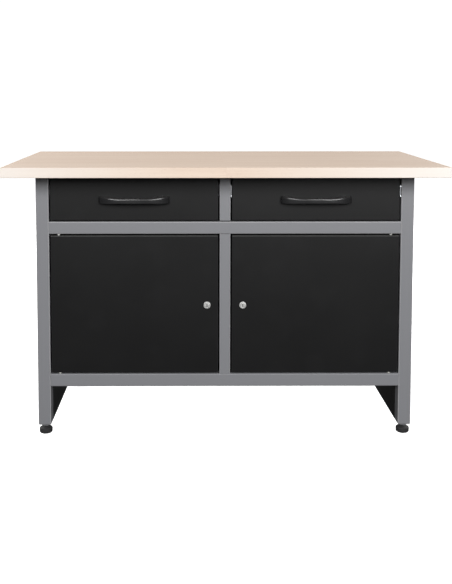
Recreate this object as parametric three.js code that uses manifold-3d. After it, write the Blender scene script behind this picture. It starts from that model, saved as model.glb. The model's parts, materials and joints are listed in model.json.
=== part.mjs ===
// Steel workbench: a beech worktop on a grey tube frame, with two drawers over two lockable doors.
// Units are millimetres. X runs to the right, Y to the back and Z up. The front faces -Y.
// The origin is on the floor, under the middle of the worktop.

import * as THREE from 'three';
import { mergeVertices } from 'three/addons/utils/BufferGeometryUtils.js';
import Module from 'manifold-3d';

const wasm = await Module();
wasm.setup();

// Overall sizes
const BENCH_HEIGHT = 765;
const TOP_WIDTH = 1200;
const TOP_DEPTH = 600;
const TOP_THICKNESS = 28;
const SIDE_OVERHANG = 75;
const FRONT_OVERHANG = 100;
const REAR_OVERHANG = 20;

// Sheet steel and the gap between pieces that lie on each other
const FRAME_SHEET = 1.5;
const PANEL_SHEET = 1.25;
const SEAT_GAP = 0.25;

// Legs and levelling feet
const LEG_WIDTH = 36;
const LEG_DEPTH = 40;
const LEG_BEND_RADIUS = 3;
const LEG_GROUND_GAP = 27;
const LEG_BASE_THICKNESS = 4;
const FOOT_BUSH_DIAMETER = 26;
const FOOT_BUSH_DROP = 5;
const FOOT_STUD_DIAMETER = 10;
const FOOT_STUD_LENGTH = 48;
const FOOT_PAD_DIAMETER = 37;
const FOOT_PAD_HEIGHT = 15;
const FOOT_PAD_CHAMFER = 2.5;

// Rails, posts and panels
const DRAWER_OPENING_HEIGHT = 132;
const MIDDLE_RAIL_HEIGHT = 34;
const BOTTOM_RAIL_HEIGHT = 36;
const BOTTOM_RAIL_GROUND_GAP = 138;
const RAIL_DEPTH = 30;
const BOTTOM_RAIL_DEPTH = 45;
const STILE_WIDTH = 30;
const UPPER_STILE_GAP = 3;
const SIDE_PANEL_FLANGE = 25;
const BACK_PANEL_FLANGE = 20;
const FLOOR_LIP_HEIGHT = 15;

// Drawers
const DRAWER_SIDE_GAP = 4;
const DRAWER_TOP_GAP = 4;
const DRAWER_BOTTOM_GAP = 3.5;
const DRAWER_FRONT_DEPTH = 18;
const DRAWER_BACK_CLEARANCE = 58.25;
const DRAWER_BOX_HEIGHT = 95;
const DRAWER_BOX_LIFT = 12;
const DRAWER_TRAVEL = 300;

// Drawer runners with balls between a fixed and a moving channel
const RUNNER_SPACE = 13;
const RUNNER_HEIGHT = 30;
const RUNNER_SHEET = 1.25;
const RUNNER_BACK_CLEARANCE = 40.5;
const RUNNER_DEPTH = 9.5;
const RUNNER_BELOW_TOP = 47;
const RUNNER_SETBACK = 1.5;
const MOVING_RUNNER_SHORTER = 20;
const BALL_DIAMETER = 3.25;
const BALL_CLEARANCE = 0.25;
const BALLS_IN_ROW = 4;
const BALL_PITCH = 18;
const CAGE_LENGTH = 70;
const CAGE_SHEET = 0.75;
const CAGE_CLEARANCE = 0.5;

// Drawer handles
const HANDLE_LENGTH = 196;
const HANDLE_PROJECTION = 33;
const HANDLE_GRIP_THICKNESS = 9;
const HANDLE_GRIP_HEIGHT = 15;
const HANDLE_PAD_LENGTH = 26;
const HANDLE_PAD_HEIGHT = 24;
const HANDLE_PAD_THICKNESS = 5;
const HANDLE_BELOW_MIDDLE = 5;
const HANDLE_SCREW_DIAMETER = 4;
const HANDLE_SCREW_GRIP = 8;
const SCREW_HEAD_DIAMETER = 8;
const SCREW_HEAD_HEIGHT = 3;

// Where the curve of the handle's bow is steered, as shares of its half length and of its rise
const BOW_SHOULDER = 0.78;
const BOW_SHOULDER_RISE = 0.75;
const BOW_CROWN = 0.45;

// Doors and their pivot pins
const DOOR_SIDE_GAP = 4;
const DOOR_TOP_GAP = 5;
const DOOR_BOTTOM_GAP = 4;
const DOOR_DEPTH = 20;
const PIN_INSET = 26;
const PIN_DIAMETER = 6;
const PIN_HEAD_DIAMETER = 10;
const PIN_HEAD_HEIGHT = 3;
const PIN_REACH = 4;
const PIN_BUSH_WALL = 1.5;
const PIN_BUSH_COLLAR = 11;
const PIN_CLEARANCE = 0.3;

// Cam locks
const LOCK_INSET = 31;
const LOCK_BELOW_MIDDLE = 2;
const LOCK_FACE_DIAMETER = 20;
const LOCK_FACE_HEIGHT = 2.5;
const LOCK_BODY_DIAMETER = 17;
const LOCK_PLUG_DIAMETER = 12;
const LOCK_PLUG_SETBACK = 0.3;
const LOCK_CLEARANCE = 0.3;
const LOCK_NUT_ACROSS = 24;
const LOCK_NUT_HEIGHT = 4;
const KEYWAY_WIDTH = 2;
const KEYWAY_HEIGHT = 7;
const KEYWAY_DEPTH = 10;
const CAM_BEHIND_DOOR = 2;
const CAM_THICKNESS = 2;
const CAM_WIDTH = 12;
const CAM_CATCH = 5;
const STRIKE_CLEARANCE = 2;

// Roundness of arcs and turned pieces
const ARC_STEPS = 4;
const TURNED_STEPS = 16;
const BALL_STEPS = 6;
const HEX_SIDES = 6;
const CUT_MARGIN = 5;

// Levels and planes that follow from the sizes above
const underTop = BENCH_HEIGHT - TOP_THICKNESS;
const seatUnderTop = underTop - SEAT_GAP;
const frontY = -TOP_DEPTH / 2 + FRONT_OVERHANG;
const rearY = TOP_DEPTH / 2 - REAR_OVERHANG;
const frameX = TOP_WIDTH / 2 - SIDE_OVERHANG;
const legInnerX = frameX - LEG_WIDTH;
const legAxisX = frameX - LEG_WIDTH / 2;
const legAxisY = { front: frontY + LEG_DEPTH / 2, rear: rearY - LEG_DEPTH / 2 };
const middleRailTop = underTop - DRAWER_OPENING_HEIGHT;
const middleRailBottom = middleRailTop - MIDDLE_RAIL_HEIGHT;
const bottomRailTop = BOTTOM_RAIL_GROUND_GAP + BOTTOM_RAIL_HEIGHT;
const stileX = STILE_WIDTH / 2;
const behindRails = frontY + RAIL_DEPTH + SEAT_GAP;
const backPanelInner = rearY - PANEL_SHEET;
const backPanelFront = rearY - BACK_PANEL_FLANGE;
const floorTop = bottomRailTop + SEAT_GAP + PANEL_SHEET;
const openingMiddleX = (stileX + legInnerX) / 2;

const drawerFrontBottom = middleRailTop + DRAWER_BOTTOM_GAP;
const drawerFrontTop = underTop - DRAWER_TOP_GAP;
const drawerBoxFront = frontY + DRAWER_FRONT_DEPTH - PANEL_SHEET;
const drawerBoxBack = backPanelFront - DRAWER_BACK_CLEARANCE;
const drawerBoxBottom = middleRailTop + DRAWER_BOX_LIFT;
const drawerBoxInner = stileX + RUNNER_SPACE;
const drawerBoxOuter = legInnerX - RUNNER_SPACE;
const handleZ = (drawerFrontBottom + drawerFrontTop) / 2 - HANDLE_BELOW_MIDDLE;
const handleBack = frontY - SEAT_GAP;
const handleScrewX = HANDLE_LENGTH / 2 - HANDLE_PAD_LENGTH / 2;
const handleScrewHole = HANDLE_SCREW_DIAMETER + 2 * SEAT_GAP;

const runnerZ = underTop - RUNNER_BELOW_TOP;
const runnerFront = frontY + DRAWER_FRONT_DEPTH + RUNNER_SETBACK;
const runnerBack = backPanelFront - RUNNER_BACK_CLEARANCE;
const ballZ = RUNNER_HEIGHT / 2 - RUNNER_SHEET - BALL_CLEARANCE - BALL_DIAMETER / 2;
const movingRunnerHeight = 2 * (ballZ - BALL_DIAMETER / 2 - BALL_CLEARANCE);
const cageWeb = SEAT_GAP + RUNNER_SHEET + CAGE_CLEARANCE;
const movingRunnerTip = cageWeb + CAGE_SHEET + CAGE_CLEARANCE;
const cageFront = runnerFront + DRAWER_TRAVEL / 2 + CAGE_CLEARANCE;

const doorBottom = bottomRailTop + DOOR_BOTTOM_GAP;
const doorTop = middleRailBottom - DOOR_TOP_GAP;
const doorInnerX = stileX + DOOR_SIDE_GAP;
const doorOuterX = legInnerX - DOOR_SIDE_GAP;
const pinX = legInnerX - PIN_INSET;
const pinY = frontY + DOOR_DEPTH / 2;
const pinHole = PIN_DIAMETER + 2 * PIN_CLEARANCE;
const pinBushSleeve = pinHole + 2 * PIN_BUSH_WALL;
const pinBushHole = pinBushSleeve + 2 * PIN_CLEARANCE;

const lockX = doorInnerX + LOCK_INSET;
const lockZ = (doorBottom + doorTop) / 2 - LOCK_BELOW_MIDDLE;
const lockHole = LOCK_BODY_DIAMETER + 2 * LOCK_CLEARANCE;
const lockPlugHole = LOCK_PLUG_DIAMETER + 2 * LOCK_CLEARANCE;
const camFront = frontY + DOOR_DEPTH + CAM_BEHIND_DOOR;
const camReach = LOCK_INSET + DOOR_SIDE_GAP + CAM_CATCH;
const footBushHole = FOOT_STUD_DIAMETER + 2 * SEAT_GAP;

// Finishes
const finishes = {
  beech: { color: 0xd9c2a6, roughness: 0.55, metalness: 0 },
  greyPaint: { color: 0x8a8b8e, roughness: 0.5, metalness: 0 },
  blackPaint: { color: 0x27272a, roughness: 0.45, metalness: 0 },
  zinc: { color: 0xb9bdc1, roughness: 0.35, metalness: 1 },
  nickel: { color: 0xcbcac6, roughness: 0.25, metalness: 1 },
  blackPlastic: { color: 0x1c1c1e, roughness: 0.5, metalness: 0 },
  nylon: { color: 0xdad8d0, roughness: 0.6, metalness: 0 },
};

// Shapes

// A block between two limits on each axis.
function block([x0, x1], [y0, y1], [z0, z1]) {
  const geometry = new THREE.BoxGeometry(x1 - x0, y1 - y0, z1 - z0);
  return geometry.translate((x0 + x1) / 2, (y0 + y1) / 2, (z0 + z1) / 2);
}

// The limits from near to far, measured outwards from the middle of the bench on one side of it.
function outwards(side, near, far) {
  return side > 0 ? [near, far] : [-far, -near];
}

// An outline in X and Y, raised from one level to another.
function upright(shape, [z0, z1]) {
  const settings = { depth: z1 - z0, bevelEnabled: false, curveSegments: ARC_STEPS };
  return new THREE.ExtrudeGeometry(shape, settings).translate(0, 0, z0);
}

// A profile of [radius, height] points, listed upwards and turned about the Z axis.
function turned(profile, steps = TURNED_STEPS) {
  const points = profile.map(([radius, height]) => new THREE.Vector2(radius, height));
  return new THREE.LatheGeometry(points, steps).rotateX(Math.PI / 2);
}

// A round bar along Z.
function bar(diameter, [z0, z1], steps = TURNED_STEPS) {
  return turned([[0, z0], [diameter / 2, z0], [diameter / 2, z1], [0, z1]], steps);
}

// The same piece laid down, so that what was up points to the front.
function facingFront(geometry) {
  return geometry.rotateX(Math.PI / 2);
}

function roundedRectangle(width, depth, radius) {
  const x = width / 2 - radius;
  const y = depth / 2 - radius;
  const shape = new THREE.Shape();
  shape.absarc(x, -y, radius, -Math.PI / 2, 0);
  shape.absarc(x, y, radius, 0, Math.PI / 2);
  shape.absarc(-x, y, radius, Math.PI / 2, Math.PI);
  shape.absarc(-x, -y, radius, Math.PI, 1.5 * Math.PI);
  return shape;
}

// Joining and cutting

function toSolid(geometry) {
  const plain = geometry.clone();
  plain.deleteAttribute('normal');
  plain.deleteAttribute('uv');
  const merged = mergeVertices(plain);
  const corners = merged.index.array;
  const triangles = [];
  for (let i = 0; i < corners.length; i += 3) {
    const [a, b, c] = [corners[i], corners[i + 1], corners[i + 2]];
    if (a !== b && b !== c && c !== a) triangles.push(a, b, c);
  }
  const vertProperties = new Float32Array(merged.attributes.position.array);
  const triVerts = new Uint32Array(triangles);
  return new wasm.Manifold(new wasm.Mesh({ numProp: 3, vertProperties, triVerts }));
}

function toGeometry(solid) {
  const { vertProperties, triVerts } = solid.getMesh();
  const geometry = new THREE.BufferGeometry();
  geometry.setAttribute('position', new THREE.BufferAttribute(vertProperties, 3));
  geometry.setIndex(new THREE.BufferAttribute(triVerts, 1));
  geometry.computeVertexNormals();
  return geometry;
}

function cut(geometry, ...tools) {
  return toGeometry(tools.reduce((solid, tool) => solid.subtract(toSolid(tool)), toSolid(geometry)));
}

function join(...geometries) {
  return toGeometry(geometries.map(toSolid).reduce((whole, next) => whole.add(next)));
}

// The finished bench

const bench = new THREE.Group();

function addPiece(name, finish, geometry) {
  const mesh = new THREE.Mesh(geometry, new THREE.MeshStandardMaterial(finishes[finish]));
  mesh.name = name;
  bench.add(mesh);
}

const sides = { left: -1, right: 1 };
const levels = ['upper', 'lower'];
const runnerPlaces = ['outer', 'inner'];

// Worktop

addPiece('worktop', 'beech', block(
  [-TOP_WIDTH / 2, TOP_WIDTH / 2],
  [-TOP_DEPTH / 2, TOP_DEPTH / 2],
  [underTop, BENCH_HEIGHT],
));

// Legs: a closed tube with a base plate, and a threaded bush under it for the foot

function leg() {
  const heights = [LEG_GROUND_GAP, seatUnderTop];
  const tube = upright(roundedRectangle(LEG_WIDTH, LEG_DEPTH, LEG_BEND_RADIUS), heights);
  const bush = bar(FOOT_BUSH_DIAMETER, [LEG_GROUND_GAP - FOOT_BUSH_DROP, LEG_GROUND_GAP + FRAME_SHEET]);
  const inside = upright(
    roundedRectangle(LEG_WIDTH - 2 * FRAME_SHEET, LEG_DEPTH - 2 * FRAME_SHEET, LEG_BEND_RADIUS - FRAME_SHEET),
    [LEG_GROUND_GAP + LEG_BASE_THICKNESS, seatUnderTop + CUT_MARGIN],
  );
  const bore = bar(footBushHole, [0, LEG_GROUND_GAP + LEG_BASE_THICKNESS + CUT_MARGIN]);
  return cut(join(tube, bush), inside, bore);
}

// Levelling feet: a pad with a stud that screws into the leg

function foot() {
  const radius = FOOT_PAD_DIAMETER / 2;
  const stud = FOOT_STUD_DIAMETER / 2;
  return turned([
    [0, 0],
    [radius - FOOT_PAD_CHAMFER, 0],
    [radius, FOOT_PAD_CHAMFER],
    [radius, FOOT_PAD_HEIGHT - FOOT_PAD_CHAMFER],
    [radius - FOOT_PAD_CHAMFER, FOOT_PAD_HEIGHT],
    [stud, FOOT_PAD_HEIGHT],
    [stud, FOOT_PAD_HEIGHT + FOOT_STUD_LENGTH],
    [0, FOOT_PAD_HEIGHT + FOOT_STUD_LENGTH],
  ]);
}

for (const [end, y] of Object.entries(legAxisY)) {
  for (const [name, side] of Object.entries(sides)) {
    addPiece(`leg_${end}_${name}`, 'greyPaint', leg().translate(side * legAxisX, y, 0));
    addPiece(`foot_${end}_${name}`, 'blackPlastic', foot().translate(side * legAxisX, y, 0));
  }
}

// Side panels: pans between the legs that open outwards, flush with the legs' inner faces

function sidePanel(side) {
  const near = legInnerX;
  const far = legInnerX + SIDE_PANEL_FLANGE;
  const [y0, y1] = [frontY + LEG_DEPTH + SEAT_GAP, rearY - LEG_DEPTH - SEAT_GAP];
  const [z0, z1] = [LEG_GROUND_GAP, seatUnderTop];
  return cut(
    block(outwards(side, near, far), [y0, y1], [z0, z1]),
    block(
      outwards(side, near + PANEL_SHEET, far + CUT_MARGIN),
      [y0 + PANEL_SHEET, y1 - PANEL_SHEET],
      [z0 + PANEL_SHEET, z1 - PANEL_SHEET],
    ),
  );
}

for (const [name, side] of Object.entries(sides)) {
  addPiece(`side_panel_${name}`, 'blackPaint', sidePanel(side));
}

// Back panel: a sheet whose edges fold forwards along the rear legs

const backPanelX = legInnerX - SEAT_GAP;
addPiece('back_panel', 'blackPaint', cut(
  block(
    [-backPanelX, backPanelX],
    [backPanelFront, rearY],
    [BOTTOM_RAIL_GROUND_GAP, seatUnderTop],
  ),
  block(
    [-backPanelX + PANEL_SHEET, backPanelX - PANEL_SHEET],
    [backPanelFront - CUT_MARGIN, backPanelInner],
    [BOTTOM_RAIL_GROUND_GAP - CUT_MARGIN, seatUnderTop + CUT_MARGIN],
  ),
));

// Rails: channels that open to the back, or at the rear to the front

function channelRail(halfLength, [y0, y1], [z0, z1], opensBack) {
  const hollow = opensBack ? [y0 + FRAME_SHEET, y1 + CUT_MARGIN] : [y0 - CUT_MARGIN, y1 - FRAME_SHEET];
  return cut(
    block([-halfLength, halfLength], [y0, y1], [z0, z1]),
    block(
      [-halfLength - CUT_MARGIN, halfLength + CUT_MARGIN],
      hollow,
      [z0 + FRAME_SHEET, z1 - FRAME_SHEET],
    ),
  );
}

// The two holes for the door pivot bushes, in the rail's wall at one level.
function pivotHoles(z) {
  const hole = (side) => bar(pinBushHole, [z - CUT_MARGIN, z + CUT_MARGIN]).translate(side * pinX, pinY, 0);
  return Object.values(sides).map(hole);
}

const railX = legInnerX - SEAT_GAP;
addPiece('middle_rail', 'greyPaint', cut(
  channelRail(railX, [frontY, frontY + RAIL_DEPTH], [middleRailBottom, middleRailTop], true),
  ...pivotHoles(middleRailBottom),
));
addPiece('bottom_rail', 'greyPaint', cut(
  channelRail(railX, [frontY, frontY + BOTTOM_RAIL_DEPTH], [BOTTOM_RAIL_GROUND_GAP, bottomRailTop], true),
  ...pivotHoles(bottomRailTop),
));
addPiece('rear_rail', 'greyPaint', channelRail(
  backPanelX - PANEL_SHEET - SEAT_GAP,
  [backPanelInner - SEAT_GAP - RAIL_DEPTH, backPanelInner - SEAT_GAP],
  [BOTTOM_RAIL_GROUND_GAP, bottomRailTop],
  false,
));

// Centre posts: channels that open to the back

function stile([z0, z1]) {
  return cut(
    block([-stileX, stileX], [frontY, frontY + RAIL_DEPTH], [z0, z1]),
    block(
      [-stileX + FRAME_SHEET, stileX - FRAME_SHEET],
      [frontY + FRAME_SHEET, frontY + RAIL_DEPTH + CUT_MARGIN],
      [z0 - CUT_MARGIN, z1 + CUT_MARGIN],
    ),
  );
}

// The slot through both walls of the lower post, as tall as the sweep of the cams that turn into it.
function strikeSlot() {
  const camRadius = Math.hypot(camReach, CAM_WIDTH / 2);
  const sweep = Math.sqrt(camRadius ** 2 - (LOCK_INSET + DOOR_SIDE_GAP) ** 2);
  return block(
    [-stileX - CUT_MARGIN, stileX + CUT_MARGIN],
    [camFront - STRIKE_CLEARANCE, camFront + CAM_THICKNESS + STRIKE_CLEARANCE],
    [lockZ - CAM_WIDTH / 2 - STRIKE_CLEARANCE, lockZ + sweep + STRIKE_CLEARANCE],
  );
}

addPiece('upper_stile', 'greyPaint', stile([middleRailTop + UPPER_STILE_GAP, seatUnderTop]));
addPiece('lower_stile', 'greyPaint', cut(
  stile([bottomRailTop + SEAT_GAP, middleRailBottom - SEAT_GAP]),
  strikeSlot(),
));

// Centre wall: two pans with their open sides together

function partitionSheet(side) {
  const [y0, y1] = [behindRails, backPanelInner - SEAT_GAP];
  const [z0, z1] = [floorTop + SEAT_GAP, seatUnderTop];
  return cut(
    block(outwards(side, SEAT_GAP / 2, stileX), [y0, y1], [z0, z1]),
    block(
      outwards(side, -CUT_MARGIN, stileX - PANEL_SHEET),
      [y0 + PANEL_SHEET, y1 - PANEL_SHEET],
      [z0 + PANEL_SHEET, z1 - PANEL_SHEET],
    ),
  );
}

for (const [name, side] of Object.entries(sides)) {
  addPiece(`partition_${name}_sheet`, 'blackPaint', partitionSheet(side));
}

// Cupboard floor: a sheet on the bottom rails, with its sides turned down between them

function floorPanel() {
  const x = legInnerX - SEAT_GAP;
  const [z0, z1] = [bottomRailTop + SEAT_GAP, floorTop];
  const lipY = [frontY + BOTTOM_RAIL_DEPTH + SEAT_GAP, backPanelInner - 2 * SEAT_GAP - RAIL_DEPTH];
  const lipZ = [z0 - FLOOR_LIP_HEIGHT, z0 + PANEL_SHEET / 2];
  const sheet = block([-x, x], [behindRails, backPanelFront - SEAT_GAP], [z0, z1]);
  const lips = Object.values(sides).map((side) => block(outwards(side, x - PANEL_SHEET, x), lipY, lipZ));
  return join(sheet, ...lips);
}

addPiece('floor_panel', 'blackPaint', floorPanel());

// Drawer runners. Depths are measured from the wall that carries the fixed channel towards the drawer box.

function fromWall(side, place, near, far) {
  if (place === 'outer') return outwards(side, legInnerX - far, legInnerX - near);
  return outwards(side, stileX + near, stileX + far);
}

// A channel with its web between two depths, and its hollow reaching another depth past the open side.
function runnerChannel(side, place, [near, far], [hollowNear, hollowFar], height, sheet, [y0, y1]) {
  const half = height / 2;
  return cut(
    block(fromWall(side, place, near, far), [y0, y1], [runnerZ - half, runnerZ + half]),
    block(
      fromWall(side, place, hollowNear, hollowFar),
      [y0 - CUT_MARGIN, y1 + CUT_MARGIN],
      [runnerZ - half + sheet, runnerZ + half - sheet],
    ),
  );
}

function cabinetRunner(side, place) {
  const span = [SEAT_GAP, SEAT_GAP + RUNNER_DEPTH];
  const hollow = [SEAT_GAP + RUNNER_SHEET, SEAT_GAP + RUNNER_DEPTH + CUT_MARGIN];
  const run = [runnerFront, runnerBack];
  return runnerChannel(side, place, span, hollow, RUNNER_HEIGHT, RUNNER_SHEET, run);
}

function drawerRunner(side, place) {
  const back = RUNNER_SPACE - SEAT_GAP;
  const hollow = [movingRunnerTip - CUT_MARGIN, back - RUNNER_SHEET];
  const run = [runnerFront, runnerBack - MOVING_RUNNER_SHORTER];
  return runnerChannel(side, place, [movingRunnerTip, back], hollow, movingRunnerHeight, RUNNER_SHEET, run);
}

// A strip folded round the moving channel, with a row of balls above and below.
function ballCage(side, place) {
  const wrap = 2 * ballZ + CAGE_SHEET;
  const far = SEAT_GAP + RUNNER_DEPTH - CAGE_CLEARANCE;
  const run = [cageFront, cageFront + CAGE_LENGTH];
  const hollow = [cageWeb + CAGE_SHEET, far + CUT_MARGIN];
  const strip = runnerChannel(side, place, [cageWeb, far], hollow, wrap, CAGE_SHEET, run);
  const [x0, x1] = fromWall(side, place, cageWeb + CAGE_SHEET, far);
  const middle = cageFront + CAGE_LENGTH / 2;
  const balls = [];
  for (let i = 0; i < BALLS_IN_ROW; i += 1) {
    const y = middle + (i - (BALLS_IN_ROW - 1) / 2) * BALL_PITCH;
    for (const z of [runnerZ - ballZ, runnerZ + ballZ]) {
      const ball = new THREE.SphereGeometry(BALL_DIAMETER / 2, BALL_STEPS, BALL_STEPS - 2);
      balls.push(ball.rotateX(Math.PI / 2).translate((x0 + x1) / 2, y, z));
    }
  }
  return join(strip, ...balls);
}

for (const [name, side] of Object.entries(sides)) {
  for (const place of runnerPlaces) {
    addPiece(`cabinet_runner_${name}_${place}`, 'zinc', cabinetRunner(side, place));
    addPiece(`drawer_runner_${name}_${place}`, 'zinc', drawerRunner(side, place));
    addPiece(`ball_cage_${name}_${place}`, 'zinc', ballCage(side, place));
  }
}

// Drawers

// A pan that opens to the back, like every drawer front and door.
function frontPan([x0, x1], depth, [z0, z1]) {
  return cut(
    block([x0, x1], [frontY, frontY + depth], [z0, z1]),
    block(
      [x0 + FRAME_SHEET, x1 - FRAME_SHEET],
      [frontY + FRAME_SHEET, frontY + depth + CUT_MARGIN],
      [z0 + FRAME_SHEET, z1 - FRAME_SHEET],
    ),
  );
}

// The two places across one drawer where its handle is screwed on.
function handleScrewPlaces(side) {
  return [-handleScrewX, handleScrewX].map((x) => side * openingMiddleX + x);
}

// Holes through the front pan and the box's front plate.
function handleScrewHoles(side) {
  const bore = facingFront(bar(handleScrewHole, [-DRAWER_FRONT_DEPTH - CUT_MARGIN, CUT_MARGIN]));
  return handleScrewPlaces(side).map((x) => bore.clone().translate(x, frontY, handleZ));
}

function drawerFront(side) {
  const x = outwards(side, stileX + DRAWER_SIDE_GAP, legInnerX - DRAWER_SIDE_GAP);
  const pan = frontPan(x, DRAWER_FRONT_DEPTH, [drawerFrontBottom, drawerFrontTop]);
  return cut(pan, ...handleScrewHoles(side));
}

// An open box whose front plate also closes the back of the front pan, just inside the pan's turned edges.
function drawerBox(side) {
  const [x0, x1] = outwards(side, drawerBoxInner, drawerBoxOuter);
  const [y0, y1] = [drawerBoxFront, drawerBoxBack];
  const [z0, z1] = [drawerBoxBottom, drawerBoxBottom + DRAWER_BOX_HEIGHT];
  const edge = FRAME_SHEET + SEAT_GAP;
  const plate = block(
    outwards(side, stileX + DRAWER_SIDE_GAP + edge, legInnerX - DRAWER_SIDE_GAP - edge),
    [y0, y0 + PANEL_SHEET],
    [drawerFrontBottom + edge, drawerFrontTop - edge],
  );
  const box = cut(
    block([x0, x1], [y0, y1], [z0, z1]),
    block(
      [x0 + PANEL_SHEET, x1 - PANEL_SHEET],
      [y0 + PANEL_SHEET, y1 - PANEL_SHEET],
      [z0 + PANEL_SHEET, z1 + CUT_MARGIN],
    ),
  );
  return cut(join(plate, box), ...handleScrewHoles(side));
}

// A bow handle: two feet on the drawer front and a grip that bulges forwards between them.
function handle(side) {
  const end = HANDLE_LENGTH / 2;
  const toe = end - HANDLE_PAD_LENGTH;
  const front = -HANDLE_PROJECTION;
  const inside = front + HANDLE_GRIP_THICKNESS;
  const frontRise = BOW_SHOULDER_RISE * front;
  const insideRise = BOW_SHOULDER_RISE * inside;
  const bow = new THREE.Shape();
  bow.moveTo(-end, 0);
  bow.lineTo(-end, -HANDLE_PAD_THICKNESS);
  bow.bezierCurveTo(-BOW_SHOULDER * end, frontRise, -BOW_CROWN * end, front, 0, front);
  bow.bezierCurveTo(BOW_CROWN * end, front, BOW_SHOULDER * end, frontRise, end, -HANDLE_PAD_THICKNESS);
  bow.lineTo(end, 0);
  bow.lineTo(toe, 0);
  bow.bezierCurveTo(BOW_SHOULDER * toe, insideRise, BOW_CROWN * toe, inside, 0, inside);
  bow.bezierCurveTo(-BOW_CROWN * toe, inside, -BOW_SHOULDER * toe, insideRise, -toe, 0);
  const bowZ = [-HANDLE_GRIP_HEIGHT / 2, HANDLE_GRIP_HEIGHT / 2];
  const padZ = [-HANDLE_PAD_HEIGHT / 2, HANDLE_PAD_HEIGHT / 2];
  const pads = [[-end, -toe], [toe, end]].map((x) => block(x, [-HANDLE_PAD_THICKNESS, 0], padZ));
  const holeDepth = HANDLE_SCREW_GRIP + 2 * SEAT_GAP;
  const hole = (x) => facingFront(bar(handleScrewHole, [-CUT_MARGIN, holeDepth])).translate(x, 0, 0);
  const body = join(upright(bow, bowZ), ...pads);
  const drilled = cut(body, hole(-handleScrewX), hole(handleScrewX));
  return drilled.translate(side * openingMiddleX, handleBack, handleZ);
}

// A screw from inside the drawer into one foot of the handle.
function handleScrew(x) {
  const headSeat = drawerBoxFront + PANEL_SHEET + SEAT_GAP;
  const shank = HANDLE_SCREW_DIAMETER / 2;
  const head = SCREW_HEAD_DIAMETER / 2;
  const length = headSeat - handleBack + HANDLE_SCREW_GRIP;
  const screw = turned([
    [0, -SCREW_HEAD_HEIGHT],
    [head, -SCREW_HEAD_HEIGHT],
    [head, 0],
    [shank, 0],
    [shank, length],
    [0, length],
  ]);
  return facingFront(screw).translate(x, headSeat, handleZ);
}

for (const [name, side] of Object.entries(sides)) {
  addPiece(`drawer_front_${name}`, 'blackPaint', drawerFront(side));
  addPiece(`drawer_box_${name}`, 'blackPaint', drawerBox(side));
  addPiece(`drawer_handle_${name}`, 'blackPlastic', handle(side));
  handleScrewPlaces(side).forEach((x, i) => {
    addPiece(`handle_screw_${name}_${i + 1}`, 'zinc', handleScrew(x));
  });
}

// Doors

function door(side) {
  const pan = frontPan(outwards(side, doorInnerX, doorOuterX), DOOR_DEPTH, [doorBottom, doorTop]);
  const pinBore = bar(pinHole, [doorBottom - CUT_MARGIN, doorTop + CUT_MARGIN]);
  const lockBore = facingFront(bar(lockHole, [-CUT_MARGIN, CUT_MARGIN]));
  return cut(pan, pinBore.translate(side * pinX, pinY, 0), lockBore.translate(side * lockX, frontY, lockZ));
}

// A pin with its head inside the door and its tip past the rail's wall, pointing up from the head.
function hingePin(gap) {
  const shank = PIN_DIAMETER / 2;
  const head = PIN_HEAD_DIAMETER / 2;
  const tip = FRAME_SHEET + gap + FRAME_SHEET + PIN_REACH;
  return turned([
    [0, -PIN_HEAD_HEIGHT],
    [head, -PIN_HEAD_HEIGHT],
    [head, -SEAT_GAP],
    [shank, -SEAT_GAP],
    [shank, tip],
    [0, tip],
  ]);
}

// A bush whose collar fills the gap between door and rail, with its sleeve through the rail's wall.
function pivotBush(gap) {
  const bore = pinHole / 2;
  const sleeve = pinBushSleeve / 2;
  const collar = PIN_BUSH_COLLAR / 2;
  const sleeveTop = gap + FRAME_SHEET + PIN_REACH / 2;
  return turned([
    [bore, SEAT_GAP],
    [collar, SEAT_GAP],
    [collar, gap - SEAT_GAP],
    [sleeve, gap - SEAT_GAP],
    [sleeve, sleeveTop],
    [bore, sleeveTop],
    [bore, SEAT_GAP],
  ]);
}

const pivots = {
  upper: { gap: DOOR_TOP_GAP, doorEdge: doorTop, turn: 0, inwards: -FRAME_SHEET },
  lower: { gap: DOOR_BOTTOM_GAP, doorEdge: doorBottom, turn: Math.PI, inwards: FRAME_SHEET },
};

for (const [name, side] of Object.entries(sides)) {
  addPiece(`door_${name}`, 'blackPaint', door(side));
  for (const level of levels) {
    const { gap, doorEdge, turn, inwards } = pivots[level];
    const pin = hingePin(gap).rotateX(turn).translate(side * pinX, pinY, doorEdge + inwards);
    const bush = pivotBush(gap).rotateX(turn).translate(side * pinX, pinY, doorEdge);
    addPiece(`hinge_pin_${name}_${level}`, 'zinc', pin);
    addPiece(`pivot_bush_${name}_${level}`, 'nylon', bush);
  }
}

// Cam locks. Heights along the lock are measured to the front from the door's face.

function lockBody() {
  const bore = lockPlugHole / 2;
  const face = LOCK_FACE_DIAMETER / 2;
  const shank = LOCK_BODY_DIAMETER / 2;
  const rear = frontY - camFront + SEAT_GAP;
  return turned([
    [bore, rear],
    [shank, rear],
    [shank, SEAT_GAP],
    [face, SEAT_GAP],
    [face, LOCK_FACE_HEIGHT],
    [bore, LOCK_FACE_HEIGHT],
    [bore, rear],
  ]);
}

function lockPlug() {
  const rear = frontY - camFront + SEAT_GAP;
  const front = LOCK_FACE_HEIGHT - LOCK_PLUG_SETBACK;
  const core = bar(LOCK_PLUG_DIAMETER, [rear, front]);
  const keyway = block(
    [-KEYWAY_WIDTH / 2, KEYWAY_WIDTH / 2],
    [-KEYWAY_HEIGHT / 2, KEYWAY_HEIGHT / 2],
    [front - KEYWAY_DEPTH, front + CUT_MARGIN],
  );
  return cut(core, keyway);
}

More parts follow.
